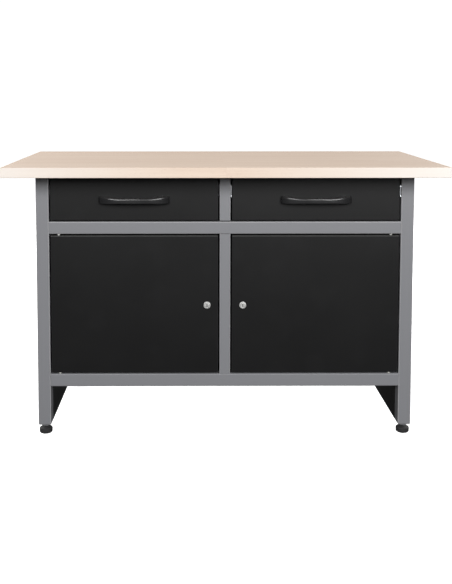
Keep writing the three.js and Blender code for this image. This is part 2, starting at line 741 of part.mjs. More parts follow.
function lockNut() {
  const back = -FRAME_SHEET - SEAT_GAP;
  const across = LOCK_NUT_ACROSS / Math.cos(Math.PI / HEX_SIDES);
  const heights = [back - LOCK_NUT_HEIGHT, back];
  const bore = bar(lockHole, [back - LOCK_NUT_HEIGHT - CUT_MARGIN, back + CUT_MARGIN]);
  return cut(bar(across, heights, HEX_SIDES), bore);
}

// The tongue stands upright while the lock is open.
function lockCam() {
  const half = CAM_WIDTH / 2;
  const tongue = new THREE.Shape();
  tongue.moveTo(half, 0);
  tongue.lineTo(half, camReach);
  tongue.lineTo(-half, camReach);
  tongue.lineTo(-half, 0);
  tongue.absarc(0, 0, half, Math.PI, 2 * Math.PI);
  const rear = frontY - camFront;
  return upright(tongue, [rear - CAM_THICKNESS, rear]);
}

const lockPieces = {
  lock_body: { finish: 'nickel', shape: lockBody },
  lock_nut: { finish: 'zinc', shape: lockNut },
  lock_plug: { finish: 'nickel', shape: lockPlug },
  lock_cam: { finish: 'zinc', shape: lockCam },
};

for (const [name, side] of Object.entries(sides)) {
  for (const [piece, { finish, shape }] of Object.entries(lockPieces)) {
    addPiece(`${piece}_${name}`, finish, facingFront(shape()).translate(side * lockX, frontY, lockZ));
  }
}

export default bench;
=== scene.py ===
# %% [markdown]
# # Dressing a steel workbench
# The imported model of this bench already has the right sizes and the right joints, but its edges are sharp
# and each surface is one plain colour. This lesson gives it what a maker would see: folded sheet with round
# bends, a beech board with grain, moulded handles, turned feet and plated locks.
#
# Where a shape has sizes that its box does not tell, such as the section of a lock, they are written in
# millimetres and turned into metres with `MM`.

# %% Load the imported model
import json
import math

import bmesh
import bpy
from mathutils import Matrix, Vector

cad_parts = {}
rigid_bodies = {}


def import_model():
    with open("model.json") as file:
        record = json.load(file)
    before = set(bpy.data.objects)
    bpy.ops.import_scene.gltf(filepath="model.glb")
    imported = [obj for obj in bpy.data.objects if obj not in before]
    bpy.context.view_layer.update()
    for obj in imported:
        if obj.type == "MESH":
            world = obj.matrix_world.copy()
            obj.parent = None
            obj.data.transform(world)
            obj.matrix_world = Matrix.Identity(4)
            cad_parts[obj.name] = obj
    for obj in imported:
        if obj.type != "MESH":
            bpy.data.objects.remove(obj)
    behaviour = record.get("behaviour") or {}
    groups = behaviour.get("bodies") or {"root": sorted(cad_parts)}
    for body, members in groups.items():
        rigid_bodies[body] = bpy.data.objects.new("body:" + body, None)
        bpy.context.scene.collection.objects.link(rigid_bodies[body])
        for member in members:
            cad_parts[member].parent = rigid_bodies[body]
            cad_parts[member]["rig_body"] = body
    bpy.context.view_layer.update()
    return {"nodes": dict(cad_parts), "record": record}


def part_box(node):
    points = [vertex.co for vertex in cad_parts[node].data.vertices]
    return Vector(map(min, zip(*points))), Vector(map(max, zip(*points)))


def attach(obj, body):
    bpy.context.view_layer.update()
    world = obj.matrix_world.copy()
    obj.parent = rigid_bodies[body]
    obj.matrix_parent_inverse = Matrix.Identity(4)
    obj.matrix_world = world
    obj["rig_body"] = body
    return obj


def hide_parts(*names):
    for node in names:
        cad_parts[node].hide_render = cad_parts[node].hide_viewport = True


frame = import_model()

MM = 0.001

# %% [markdown]
# ## Node trees in few words
# Materials are node trees, and building them in a script is mostly adding a node, setting it and wiring it
# up. `place` does all three: an input that is given another node is linked to it, and one that is given a
# number or a colour is set to it. So a tree reads from its first node to its last, like a recipe. Every
# node could also be given a spot on the canvas by hand, but standing each one to the right of what feeds it
# keeps the tree in order by itself.

# %% Helpers for node trees
COLUMN, ROW = 260, 340  # how far apart the nodes stand on a tree's canvas


def feed(tree, node, inputs):
    """Feeds a node's inputs and stands it to the right of the nodes that feed it.

    A socket, or a node's first output, is linked, and anything else is set as a value.
    """
    column = node.location.x
    for key, source in inputs.items():
        if isinstance(source, bpy.types.Node):
            source = source.outputs[0]
        if isinstance(source, bpy.types.NodeSocket):
            tree.links.new(source, node.inputs[key])
            column = max(column, source.node.location.x + COLUMN)
        else:
            node.inputs[key].default_value = source
    row = sum(other.location.x == column for other in tree.nodes if other != node)
    node.location = (column, -ROW * row)


def place(tree, kind, inputs=None, **settings):
    """Adds a node, sets its properties and feeds its inputs."""
    node = tree.nodes.new(kind)
    for name, value in settings.items():
        setattr(node, name, value)
    feed(tree, node, inputs or {})
    return node


def sums(tree, operation, *values, **settings):
    """A Math node with its values."""
    return place(tree, "ShaderNodeMath", dict(enumerate(values)), operation=operation, **settings)


def ranged(tree, value, low=0.0, high=1.0, to=(0.0, 1.0), shape="SMOOTHSTEP"):
    """A Map Range node: low and high become the two ends in to."""
    ends = {"Value": value, "From Min": low, "From Max": high, "To Min": to[0], "To Max": to[1]}
    return place(tree, "ShaderNodeMapRange", ends, interpolation_type=shape)


def noise(tree, spot, scale, detail=2.0):
    """A noise over places in space."""
    return place(tree, "ShaderNodeTexNoise", {"Vector": spot, "Scale": scale, "Detail": detail})


def axes(tree, vector):
    """The X, Y and Z of a vector."""
    return place(tree, "ShaderNodeSeparateXYZ", {0: vector}).outputs


def scaled(tree, colour, amount):
    """A colour times an amount."""
    return place(tree, "ShaderNodeVectorMath", {0: colour, "Scale": amount}, operation="SCALE")


def blended(tree, mode, factor, first, second):
    """Two colours mixed. The node has sockets for all kinds of data: 6, 7 and 2 are those for colour."""
    mix = place(tree, "ShaderNodeMix", {0: factor, 6: first, 7: second}, data_type="RGBA", blend_type=mode)
    return mix.outputs[2]


print("helpers for node trees ready, columns", COLUMN, "apart")

# %% [markdown]
# ## Groups and materials
# A shader group is made once and then placed in every finish that needs the same effect. Copying its nodes
# into each material would work too, but then a change has to be made many times. A group hands out colours,
# values and heights only, and the Principled shader stays in each material, where the export can read it.

# %% Helpers for groups and materials
PRINCIPLED = "Principled BSDF"


def new_group(name, inputs, outputs):
    """A shader group with named sockets, and what it is given. A tuple makes a colour socket."""
    group = bpy.data.node_groups.new(name, "ShaderNodeTree")
    kinds = {True: "NodeSocketColor", False: "NodeSocketFloat"}
    for label, value in inputs.items():
        kind = kinds[isinstance(value, tuple)]
        group.interface.new_socket(label, in_out="INPUT", socket_type=kind).default_value = value
    for label in outputs:
        group.interface.new_socket(label, in_out="OUTPUT", socket_type=kinds[label == "Colour"])
    return group, place(group, "NodeGroupInput").outputs


def new_material(name):
    """A material with nodes, and its tree."""
    made = bpy.data.materials.new(name)
    made.use_nodes = True
    return made, made.node_tree


def shade(tree, shader, inputs):
    """Feeds the shader that a new tree starts with, and moves the output to its right."""
    node = tree.nodes[shader]
    feed(tree, node, inputs)
    node.outputs[0].links[0].to_node.location.x = node.location.x + 2 * COLUMN


print("helpers for groups and materials ready, shader:", PRINCIPLED)

# %% [markdown]
# ## The skin of a powder coat
# Frame, doors and drawers are powder coated. The powder melts into a skin with a fine orange peel, and the
# shade wanders a little over a large sheet. A noise of about a millimetre gives the peel, and a slow one
# the wandering. Both read Object coordinates, so the scale is the same on every piece whatever its size.
# Bends are painted lighter: partly wear, where the powder pulls thin and hands rub it smooth, and partly a
# painted highlight of the light along the folds. On folded sheet the flats look along an axis and only the
# bends look between two, so the object's own normal tells them apart and no mask has to be painted.

# %% Shader group: powder coat skin
skin, given = new_group(
    "powder_coat_skin",
    {"Colour": (0.2, 0.2, 0.2, 1), "Peel per metre": 700.0, "Wander": 0.05, "Roughness": 0.45,
     "Bend colour": (0.3, 0.3, 0.3, 1), "Bend wear": 0.0},
    ("Colour", "Roughness", "Height"),
)
where = place(skin, "ShaderNodeTexCoord").outputs
peel = noise(skin, where["Object"], given["Peel per metre"], 3.0)
cloud = noise(skin, where["Object"], 5.0, 4.0)
swing = sums(skin, "SUBTRACT", cloud, 0.5)
share = sums(skin, "MULTIPLY", swing, given["Wander"])
grain = sums(skin, "MULTIPLY_ADD", peel, 0.16, 0.92)
level = sums(skin, "ADD", share, grain)
tint = scaled(skin, given["Colour"], level)
rough = sums(skin, "MULTIPLY_ADD", share, 0.6, given["Roughness"])
looks = place(skin, "ShaderNodeVectorMath", {0: where["Normal"]}, operation="ABSOLUTE")
three = axes(skin, looks)
larger = sums(skin, "MAXIMUM", three["X"], three["Y"])
largest = sums(skin, "MAXIMUM", larger, three["Z"])
# bends get a lighter colour: partly wear, partly a painted highlight along the folds
bent = ranged(skin, largest, 0.985, 0.86)
bend_wear_and_highlight = sums(skin, "MULTIPLY", bent, given["Bend wear"])
coated = blended(skin, "MIX", bend_wear_and_highlight, tint, given["Bend colour"])
place(skin, "NodeGroupOutput", {"Colour": coated, "Roughness": rough, "Height": peel})
print("group:", skin.name, [s.name for s in skin.interface.items_tree])

# %% [markdown]
# ## Dust, painted top highlight and handling
# Nothing in a workshop stays even. A thin film of pale dust lies on whatever faces up, and the same lighter
# colour on upward faces is partly a painted highlight of the light from above. Hands leave broad dull
# patches. Dust could be painted as a mask by hand, but the direction a face looks in, taken from its normal,
# says where dust can lie, so one group serves paint, plastic and metal alike.

# %% Shader group: dust and handling
film, given = new_group(
    "dust_and_handling",
    {"Colour": (0.2, 0.2, 0.2, 1), "Roughness": 0.45, "Dust": 0.1, "Handling": 0.1},
    ("Colour", "Roughness"),
)
where = place(film, "ShaderNodeTexCoord").outputs
facing = place(film, "ShaderNodeNewGeometry").outputs
facing_up = ranged(film, axes(film, facing["Normal"])["Z"], 0.1, 0.85)
speck = noise(film, where["Object"], 320.0, 5.0)
thick = sums(film, "MULTIPLY", facing_up, speck)
amount = sums(film, "MULTIPLY", thick, given["Dust"], use_clamp=True)
patch = noise(film, where["Object"], 14.0)
touch = ranged(film, patch, 0.52, 0.72)
dull = sums(film, "MULTIPLY", touch, given["Handling"])
# upward faces are mixed towards pale grey: partly dust, partly a painted highlight of the light from above
dust_and_top_light = blended(film, "MIX", amount, given["Colour"], (0.52, 0.51, 0.49, 1))
raised = sums(film, "MULTIPLY_ADD", amount, 0.4, given["Roughness"])
total = sums(film, "MULTIPLY_ADD", dull, 0.25, raised, use_clamp=True)
place(film, "NodeGroupOutput", {"Colour": dust_and_top_light, "Roughness": total})
print("group:", film.name, [s.name for s in film.interface.items_tree])

# %% [markdown]
# ## Plated metal
# The runners, pins and cams are zinc plated and the locks are nickel plated. Plating keeps the fine rolling
# lines of the strip below it and forms faint crystals. Both could be painted on a map, but these small
# pieces have none. Stretched noise makes the lines and Voronoi cells the crystals, in Object coordinates,
# which every piece has.

# %% Shader group: plated metal
plate, given = new_group(
    "plated_metal",
    {"Colour": (0.6, 0.6, 0.6, 1), "Crystals per metre": 250.0, "Roughness": 0.3},
    ("Colour", "Roughness", "Height"),
)
where = place(plate, "ShaderNodeTexCoord").outputs
stretch = place(plate, "ShaderNodeMapping", {"Vector": where["Object"], "Scale": (900.0, 12.0, 900.0)})
lines = noise(plate, stretch, 1.0, 3.0)
crystal_sites = {"Vector": where["Object"], "Scale": given["Crystals per metre"]}
cells = place(plate, "ShaderNodeTexVoronoi", crystal_sites)
flake = place(plate, "ShaderNodeSeparateColor", {0: cells.outputs["Color"]})
crystal_shade = sums(plate, "MULTIPLY_ADD", flake, 0.16, 0.92)
tint = scaled(plate, given["Colour"], crystal_shade)
rough = sums(plate, "MULTIPLY_ADD", lines, 0.18, given["Roughness"])
place(plate, "NodeGroupOutput", {"Colour": tint, "Roughness": rough, "Height": lines})
print("group:", plate.name, [s.name for s in plate.interface.items_tree])

# %% [markdown]
# ## Painted, moulded and plated finishes
# The paints, plastics and platings of this bench differ in colour, gloss and grain, but they are built
# alike. Each could be wired by hand, ten times over. One small builder does it here: it wires a surface
# group, the dust group with its painted top highlight and a bump into a Principled shader. What is the same
# all over a surface, such as its specular level, is set on the shader itself.

# %% Finishes that share the groups
BUMP_DEPTH = 0.2 * MM


def finished(name, surface, settings, dust_and_top_highlight, handling, bump, **shader):
    """A material: a surface group, dust with a painted top highlight, handling, and a bump of the group's
    height.
    """
    made, tree = new_material(name)
    base = place(tree, "ShaderNodeGroup", settings, node_tree=surface).outputs
    under = {"Colour": base["Colour"], "Roughness": base["Roughness"], "Dust": dust_and_top_highlight, "Handling": handling}
    over = place(tree, "ShaderNodeGroup", under, node_tree=film).outputs
    height = {"Strength": bump, "Distance": BUMP_DEPTH, "Height": base["Height"]}
    relief = place(tree, "ShaderNodeBump", height)
    constants = {label.replace("_", " "): value for label, value in shader.items()}
    linked_inputs = {"Base Color": over["Colour"], "Roughness": over["Roughness"], "Normal": relief}
    shade(tree, PRINCIPLED, {**constants, **linked_inputs})
    return made


def coat(colour, peel, wander, roughness):
    """What the powder coat's group is given. It serves moulded plastic too."""
    return {"Colour": (*colour, 1), "Peel per metre": peel, "Wander": wander, "Roughness": roughness}


def plating(colour, crystals, roughness):
    """What the plated metal's group is given."""
    return {"Colour": (*colour, 1), "Crystals per metre": crystals, "Roughness": roughness}


GREY = coat((0.224, 0.226, 0.240), 650.0, 0.05, 0.42)
BLACK = coat((0.0064, 0.0064, 0.0067), 520.0, 0.16, 0.43)
finish = {
    # the grey and black coats paint their bends lighter, partly wear and partly a painted highlight; the second
    # grey keeps its bends plain
    "grey_paint": finished(
        "grey_powder_coat", skin, {**GREY, "Bend colour": (0.46, 0.46, 0.47, 1), "Bend wear": 0.75},
        dust_and_top_highlight=0.10, handling=0.1, bump=0.10, Specular_IOR_Level=0.45),
    "grey_paint_without_bend_highlight": finished(
        "grey_powder_coat_unworn", skin, GREY,
        dust_and_top_highlight=0.0, handling=0.1, bump=0.10, Specular_IOR_Level=0.45),
    "black_paint": finished(
        "black_powder_coat", skin, {**BLACK, "Bend colour": (0.13, 0.13, 0.135, 1), "Bend wear": 0.15},
        dust_and_top_highlight=0.2, handling=0.12, bump=0.16, Specular_IOR_Level=0.3),
    "black_plastic": finished(
        "black_moulded_plastic", skin, coat((0.017, 0.017, 0.018), 1500.0, 0.12, 0.22),
        dust_and_top_highlight=0.05, handling=0.25, bump=0.06, Specular_IOR_Level=0.7),
    "foot_plastic": finished(
        "grained_foot_plastic", skin, coat((0.036, 0.036, 0.037), 900.0, 0.2, 0.66),
        dust_and_top_highlight=0.02, handling=0.3, bump=0.3, Specular_IOR_Level=0.08),
    "nylon": finished(
        "natural_nylon", skin, coat((0.66, 0.65, 0.61), 900.0, 0.08, 0.5),
        dust_and_top_highlight=0.05, handling=0.2, bump=0.08, Specular_IOR_Level=0.45),
    "zinc": finished(
        "zinc_plate", plate, plating((0.60, 0.62, 0.65), 260.0, 0.26),
        dust_and_top_highlight=0.06, handling=0.3, bump=0.06, Metallic=1.0),
    "nickel": finished(
        "nickel_plate", plate, plating((0.72, 0.72, 0.71), 900.0, 0.42),
        dust_and_top_highlight=0.03, handling=0.2, bump=0.03, Metallic=1.0),
    # a dark colour that paints the shade inside the keyway
    "keyway": finished(
        "greased_keyway", plate, plating((0.035, 0.034, 0.032), 600.0, 0.5),
        dust_and_top_highlight=0.0, handling=0.2, bump=0.03, Metallic=0.6),
    "core_nickel": finished(
        "lock_core_nickel", plate, plating((0.68, 0.68, 0.67), 900.0, 0.42),
        dust_and_top_highlight=0.03, handling=0.3, bump=0.03, Metallic=0.6),
}
print("finishes:", ", ".join(finish))

# %% [markdown]
# ## Beech
# The worktop is a beech board, glued up from long staves. Seen closely, beech has a pale pink ground, soft
# streaks along the stave and short brown flecks. A photograph on a plane would be the quick way, but it
# stretches on the edges. Noise in space, drawn out along X, runs through the whole board instead: it makes
# streaks on the top and the long edges, and end grain where the board is cut across. The front edge is
# painted paler towards its two ends, a painted highlight of the light that falls there, more on the right.

# %% Material: beech
beech, tree = new_material("oiled_beech")
where = place(tree, "ShaderNodeTexCoord").outputs
stave_sizes = {"Scale": 1.0, "Brick Width": 710 * MM, "Row Height": 46 * MM, "Mortar Size": 0.15 * MM,
               "Mortar Smooth": 0.6, "Bias": 0.0}
stave_tones = {"Color1": (1, 1, 1, 1), "Color2": (0.975, 0.963, 0.95, 1), "Mortar": (0.955, 0.935, 0.915, 1)}
staves = place(tree, "ShaderNodeTexBrick", {"Vector": where["Object"], **stave_sizes, **stave_tones},
               offset=0.37, offset_frequency=2)
stave_tone = place(tree, "ShaderNodeSeparateColor", {0: staves}).outputs
stave_jump = sums(tree, "MULTIPLY", stave_tone[2], 90.0)


def drawn_out(scale, detail):
    """A noise drawn out along the board, with its own start in each stave."""
    stretch = place(tree, "ShaderNodeMapping", {"Vector": where["Object"], "Scale": scale})
    settings = {"Vector": stretch, "W": stave_jump, "Scale": 1.0, "Detail": detail, "Roughness": 0.6}
    return place(tree, "ShaderNodeTexNoise", settings, noise_dimensions="4D")


streaks = drawn_out((2.2, 70.0, 70.0), 6.0)
fibres = drawn_out((22.0, 650.0, 650.0), 4.0)
fleck_field = drawn_out((160.0, 900.0, 900.0), 1.0)
ground = place(tree, "ShaderNodeValToRGB", {0: streaks})
dark_stop, light_stop = ground.color_ramp.elements
dark_stop.position, dark_stop.color = 0.3, (0.712, 0.568, 0.463, 1)
light_stop.position, light_stop.color = 0.7, (0.79, 0.655, 0.546, 1)
flecks = ranged(tree, fleck_field, 0.60, 0.74, to=(0.0, 0.30))
fibre_shade = sums(tree, "MULTIPLY_ADD", fibres, 0.10, 0.95)
toned = blended(tree, "MULTIPLY", 1.0, ground, staves)
fibred = scaled(tree, toned, fibre_shade)
flecked = blended(tree, "MIX", flecks, fibred, (0.44, 0.29, 0.20, 1))
# painted highlight: the front edge gets paler towards its ends, centred a little left of the middle
on_front = ranged(tree, axes(tree, where["Normal"])["Y"], -0.6, -0.95, shape="LINEAR")
off_middle = sums(tree, "ADD", axes(tree, where["Object"])["X"], 40 * MM)
to_ends = sums(tree, "ABSOLUTE", off_middle)
end_light_ramp = ranged(tree, to_ends, 80 * MM, 640 * MM, to=(0.0, 0.8), shape="LINEAR")
painted_end_light = sums(tree, "MULTIPLY", on_front, end_light_ramp)
end_lit_beech = blended(tree, "MIX", painted_end_light, flecked, (0.90, 0.87, 0.83, 1))
rough = sums(tree, "MULTIPLY_ADD", fibres, 0.16, 0.52)
relief = place(tree, "ShaderNodeBump", {"Strength": 0.12, "Distance": BUMP_DEPTH, "Height": fibres})
shade(tree, PRINCIPLED, {"Specular IOR Level": 0.2, "Base Color": end_lit_beech, "Roughness": rough,
                         "Normal": relief})
finish["beech"] = beech
print("beech has", len(tree.nodes), "nodes")

# %% [markdown]
# ## From a mesh to a piece
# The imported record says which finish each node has, and the loaded nodes know which body they move with. So
# a redrawn piece needs only a name, a mesh and the nodes it stands for: the rest is looked up. Normals are
# weighted by area, which keeps a large sheet flat right up to its bends.

# %% Helpers: settle a mesh, add a piece
slot_of = {part["node"]: part["material_slot"] for part in frame["record"]["subparts"]}


def linked(name, mesh_or_bm):
    """A new object in the scene, from a mesh or a bmesh."""
    mesh = mesh_or_bm
    if isinstance(mesh_or_bm, bmesh.types.BMesh):
        mesh = bpy.data.meshes.new(name)
        mesh_or_bm.to_mesh(mesh)
        mesh_or_bm.free()
    obj = bpy.data.objects.new(name, mesh)
    bpy.context.scene.collection.objects.link(obj)
    return obj


def settle(obj):
    """Replaces the object's mesh by what its modifiers make of it, and takes them off."""
    graph = bpy.context.evaluated_depsgraph_get()
    made = bpy.data.meshes.new_from_object(obj.evaluated_get(graph), depsgraph=graph)
    made.name = obj.name
    obj.modifiers.clear()
    obj.data = made


def thicken(obj, sheet):
    """Gives a surface the thickness of its sheet, towards the inside."""
    wall = obj.modifiers.new("sheet", "SOLIDIFY")
    wall.thickness = sheet
    wall.offset = -1.0
    wall.use_even_offset = True
    settle(obj)


def bored(obj, *cutters):
    """Cuts the cutters, which are bmeshes, out of the object."""
    tools = [linked("cutter", cutter) for cutter in cutters]
    for tool in tools:
        cut = obj.modifiers.new("bore", "BOOLEAN")
        cut.object = tool
        cut.solver = "EXACT"
    settle(obj)
    for tool in tools:
        bpy.data.objects.remove(tool)


def smoothed(obj, angle):
    """Shades an object smoothly, apart from edges sharper than an angle in degrees."""
    obj.data.polygons.foreach_set("use_smooth", [True] * len(obj.data.polygons))
    obj.data.set_sharp_from_angle(angle=math.radians(angle))


def dress(obj, *nodes, smooth=35, look=None):
    """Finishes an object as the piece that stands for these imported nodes, in their finish or another look."""
    obj.data.materials.clear()
    obj.data.materials.append(finish[look or slot_of[nodes[0]]])
    smoothed(obj, smooth)
    flat = obj.modifiers.new("flat sheets", "WEIGHTED_NORMAL")
    flat.keep_sharp = True
    settle(obj)
    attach(obj, frame["nodes"][nodes[0]]["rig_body"])
    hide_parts(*nodes)
    return obj


print("finishes by node:", len(slot_of))

# %% [markdown]
# ## The worktop
# A plain board with its sharp edges taken off. A Bevel modifier would do, but the edges of a bare box can
# be rounded in its mesh at once. About one and a half millimetres in three steps catch the light as a
# sanded edge does.

# %% Worktop
BOARD_EDGE = 1.6 * MM


def box_mesh(low, high):
    """A closed block between two corners."""
    bm = bmesh.new()
    bmesh.ops.create_cube(bm, size=1.0)
    size = Vector(high) - Vector(low)
    bmesh.ops.scale(bm, vec=size, verts=bm.verts)
    bmesh.ops.translate(bm, vec=(Vector(high) + Vector(low)) / 2, verts=bm.verts)
    return bm


def eased(bm, radius, steps=3, edges=None):
    """Rounds edges, or every edge, of a mesh."""
    bmesh.ops.bevel(bm, geom=list(edges or bm.edges), offset=radius, offset_type="OFFSET", segments=steps,
                    profile=0.5, affect="EDGES", clamp_overlap=True)
    return bm


board = dress(linked("worktop_board", eased(box_mesh(*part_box("worktop")), BOARD_EDGE)), "worktop")
print(board.name, len(board.data.polygons), "faces")

# %% [markdown]
# ## Folded sheet
# Nearly all of this bench is sheet steel with folded edges. The walls of a box are drawn as one thin
# surface, its open sides are left out, the folds are rounded, and Solidify then gives the sheet its
# thickness. Drawing each channel's section and sweeping it would do for the rails, but not for pans that
# are folded on four sides.

# %% Helper: folded sheet
FRAME_SHEET, PANEL_SHEET = 1.5 * MM, 1.25 * MM
WALLS = {
    "left": ((0, 0, 0), (0, 0, 1), (0, 1, 1), (0, 1, 0)),
    "right": ((1, 0, 0), (1, 1, 0), (1, 1, 1), (1, 0, 1)),
    "front": ((0, 0, 0), (1, 0, 0), (1, 0, 1), (0, 0, 1)),
    "back": ((0, 1, 0), (0, 1, 1), (1, 1, 1), (1, 1, 0)),
    "bottom": ((0, 0, 0), (0, 1, 0), (1, 1, 0), (1, 0, 0)),
    "top": ((0, 0, 1), (1, 0, 1), (1, 1, 1), (0, 1, 1)),
}


def folded_box(name, limits, open_sides, sheet, bend, steps=4):
    """A sheet folded along the walls of a box, apart from its open sides."""
    bm = bmesh.new()
    corners = {}
    for wall, spots in WALLS.items():
        if wall in open_sides:
            continue
        for spot in spots:
            if spot not in corners:
                corners[spot] = bm.verts.new([limits[spot[axis]][axis] for axis in range(3)])
        bm.faces.new([corners[spot] for spot in spots])
    bm.edges.ensure_lookup_table()
    folds = [edge for edge in bm.edges if len(edge.link_faces) == 2]
    obj = linked(name, eased(bm, bend, steps, folds))
    thicken(obj, sheet)
    return obj


def folded(name, node, open_sides, sheet, bend):
    """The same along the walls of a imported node's own box."""
    return folded_box(name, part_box(node), open_sides, sheet, bend)


def folded_piece(name, node, open_sides, sheet, bend):
    """A folded sheet that needs nothing more and stands for its node."""
    return dress(folded(name, node, open_sides, sheet, bend), node)


print("walls:", ", ".join(WALLS))

# %% [markdown]
# ## Turned pieces
# Feet, pins, bushes and locks are round. Each is drawn as half of its section, a list of radius and height,
# and turned about its axis. Blender's Screw modifier or Spin would do the same, but a small loop closes the
# poles cleanly and needs no merging afterwards.

# %% Helper: turned pieces
def turned(profile, steps=32):
    """A closed solid of revolution about Z, from (radius, height) in millimetres, listed upwards."""
    bm = bmesh.new()
    angles = [2 * math.pi * i / steps for i in range(steps)]
    rings = []
    for radius, height in profile:
        if radius == 0:
            rings.append([bm.verts.new((0, 0, height * MM))] * steps)
            continue
        spots = [(radius * MM * math.cos(a), radius * MM * math.sin(a), height * MM) for a in angles]
        rings.append([bm.verts.new(spot) for spot in spots])
    hollow = profile[0][0] > 0
    pairs = zip(rings, rings[1:] + rings[:1]) if hollow else zip(rings, rings[1:])
    for lower, upper in pairs:
        for i in range(steps):
            j = (i + 1) % steps
            spots = dict.fromkeys((lower[i], lower[j], upper[j], upper[i]))
            if len(spots) > 2:
                bm.faces.new(list(spots))
    bmesh.ops.recalc_face_normals(bm, faces=bm.faces)
    return bm


def rod(radius, low, high):
    """A plain round rod along Z, in millimetres, mostly to bore with."""
    return turned([(0, low), (radius, low), (radius, high), (0, high)])


def moved(bm, at, turn=None):
    """The mesh, turned and then carried to a place."""
    matrix = Matrix.Translation(Vector(at))
    if turn is not None:
        matrix = matrix @ turn
    bmesh.ops.transform(bm, matrix=matrix, verts=bm.verts)
    return bm


def joined(*meshes):
    """One bmesh out of several."""
    whole = meshes[0]
    for part in meshes[1:]:
        carrier = bpy.data.meshes.new("carrier")
        part.to_mesh(carrier)
        part.free()
        whole.from_mesh(carrier)
        bpy.data.meshes.remove(carrier)
    return whole


print("a rod has", len(rod(5, 0, 5).faces), "faces")

# %% [markdown]
# ## Legs
# Each leg is a rectangular steel tube with round corners, a plate welded into its lower end and a threaded
# bush under it. A section swept along a line could make the tube. A folded sheet that is open at the top,
# where it meets the board, gives the tube and its plate in one.

# %% Legs
FEET = ("front_left", "front_right", "rear_left", "rear_right")
LEG_BEND = 3.2 * MM
FOOT_BUSH_DROP = 5 * MM  # the bush hangs this far below the tube
FOOT_BORE = 5.3
FOOT_BUSH = [(FOOT_BORE, 22.0), (12.2, 22.0), (13.0, 22.8), (13.0, 27.2), (FOOT_BORE, 27.2)]


def with_parts(obj, *parts):
    """Adds bmeshes to an object's own mesh."""
    whole = bmesh.new()
    whole.from_mesh(obj.data)
    joined(whole, *parts).to_mesh(obj.data)
    whole.free()
    return obj


def middle(node):
    """The middle of a node's box."""
    low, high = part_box(node)
    return (low + high) / 2


def named(start):
    """The names of the objects that start with a word."""
    return [obj.name for obj in bpy.data.objects if obj.name.startswith(start)]


for foot in FEET:
    node = f"leg_{foot}"
    low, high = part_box(node)
    low.z += FOOT_BUSH_DROP
    tube = folded_box(f"leg_tube_{foot}", (low, high), ("top",), FRAME_SHEET, LEG_BEND)
    axis = Vector((middle(node).x, middle(node).y, 0))
    bored(tube, moved(rod(FOOT_BORE, 10, 60), axis))
    dress(with_parts(tube, moved(turned(FOOT_BUSH), axis)), node)
print("legs:", named("leg_tube"))

# %% [markdown]
# ## Rails and posts
# The two front rails are channels that open to the back. The bends of the middle rail are painted lighter,
# partly wear from hands and drawers and partly a painted highlight along the folds, and the low rail's bends
# are left plain. A plate closes each end, where the rail is welded to a leg. The centre posts are narrower
# channels of the same sheet. The rails have holes for the door pivots, and the lower post has the slot that
# the tongues of the locks turn into. Painted dots would do for the holes from afar, but they are cut,
# because the pins move in them.

# %% Rails and posts
SIDES = {"left": -1, "right": 1}
PIN_X, PIN_Y = 463 * MM, -190 * MM
PIVOT_BORE = 5.1
RAIL_BEND, POST_BEND = 3.0 * MM, 2.4 * MM
END_LAP, END_GAP = 1.2 * MM, 0.1 * MM
STRIKE_SLOT = ((-20, -180, 362), (20, -174, 392.3))
# each front rail with the level of its pivot holes and its finish
FRONT_RAILS = (("middle_rail", 571, "grey_paint"), ("bottom_rail", 174, "grey_paint_without_bend_highlight"))


def pivot_holes(z):
    """Cutters for the pivot bushes in the wall of a rail at one level."""
    return [moved(rod(PIVOT_BORE, -5, 5), (side * PIN_X, PIN_Y, z)) for side in SIDES.values()]


def block(low, high):
    """A closed block between two corners in millimetres."""
    return box_mesh([v * MM for v in low], [v * MM for v in high])


def end_plates(node):
    """The two plates inside a rail's ends, by which it is welded to the legs."""
    low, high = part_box(node)
    lap = Vector((0, 1, 1)) * END_LAP
    starts = (low.x + END_GAP, high.x - FRAME_SHEET - END_GAP)
    corners = [(Vector((x, low.y, low.z)) + lap, Vector((x + FRAME_SHEET, high.y, high.z)) - lap)
               for x in starts]
    return [box_mesh(*pair) for pair in corners]


for node, level, look in FRONT_RAILS:
    rail = folded(f"folded_{node}", node, ("back", "left", "right"), FRAME_SHEET, RAIL_BEND)
    bored(rail, *pivot_holes(level * MM))
    dress(with_parts(rail, *end_plates(node)), node, look=look)
folded_piece("folded_rear_rail", "rear_rail", ("front", "left", "right"), FRAME_SHEET, RAIL_BEND)
folded_piece("upper_post", "upper_stile", ("back", "top", "bottom"), FRAME_SHEET, POST_BEND)
post = folded("lower_post", "lower_stile", ("back", "top", "bottom"), FRAME_SHEET, POST_BEND)
bored(post, block(*STRIKE_SLOT))
dress(post, "lower_stile")
print("lower post:", len(post.data.polygons), "faces after its slot was cut")

# %% [markdown]
# ## Black panels
# The side panels are pans that open outwards between the legs. The back is a sheet with its edges folded
# forwards, and the centre wall is two pans put together. Flat plates would be simpler, but the folded edges
# show between the legs. The cupboard floor is a flat sheet with two short lips and looks right as it was
# packed, so it keeps its own mesh and only gets the paint.

# %% Panels
OTHER = {"left": "right", "right": "left"}
PANEL_BEND, CENTRE_BEND = 2.2 * MM, 2.0 * MM
for name in SIDES:
    folded_piece(f"side_pan_{name}", f"side_panel_{name}", (name,), PANEL_SHEET, PANEL_BEND)
    folded_piece(f"centre_wall_{name}", f"partition_{name}_sheet", (OTHER[name],), PANEL_SHEET, CENTRE_BEND)
folded_piece("back_sheet", "back_panel", ("front", "top", "bottom"), PANEL_SHEET, PANEL_BEND)
floor_panel = frame["nodes"]["floor_panel"]
floor_panel.data.materials.clear()
floor_panel.data.materials.append(finish["black_paint"])
print("kept as packed:", floor_panel.name)

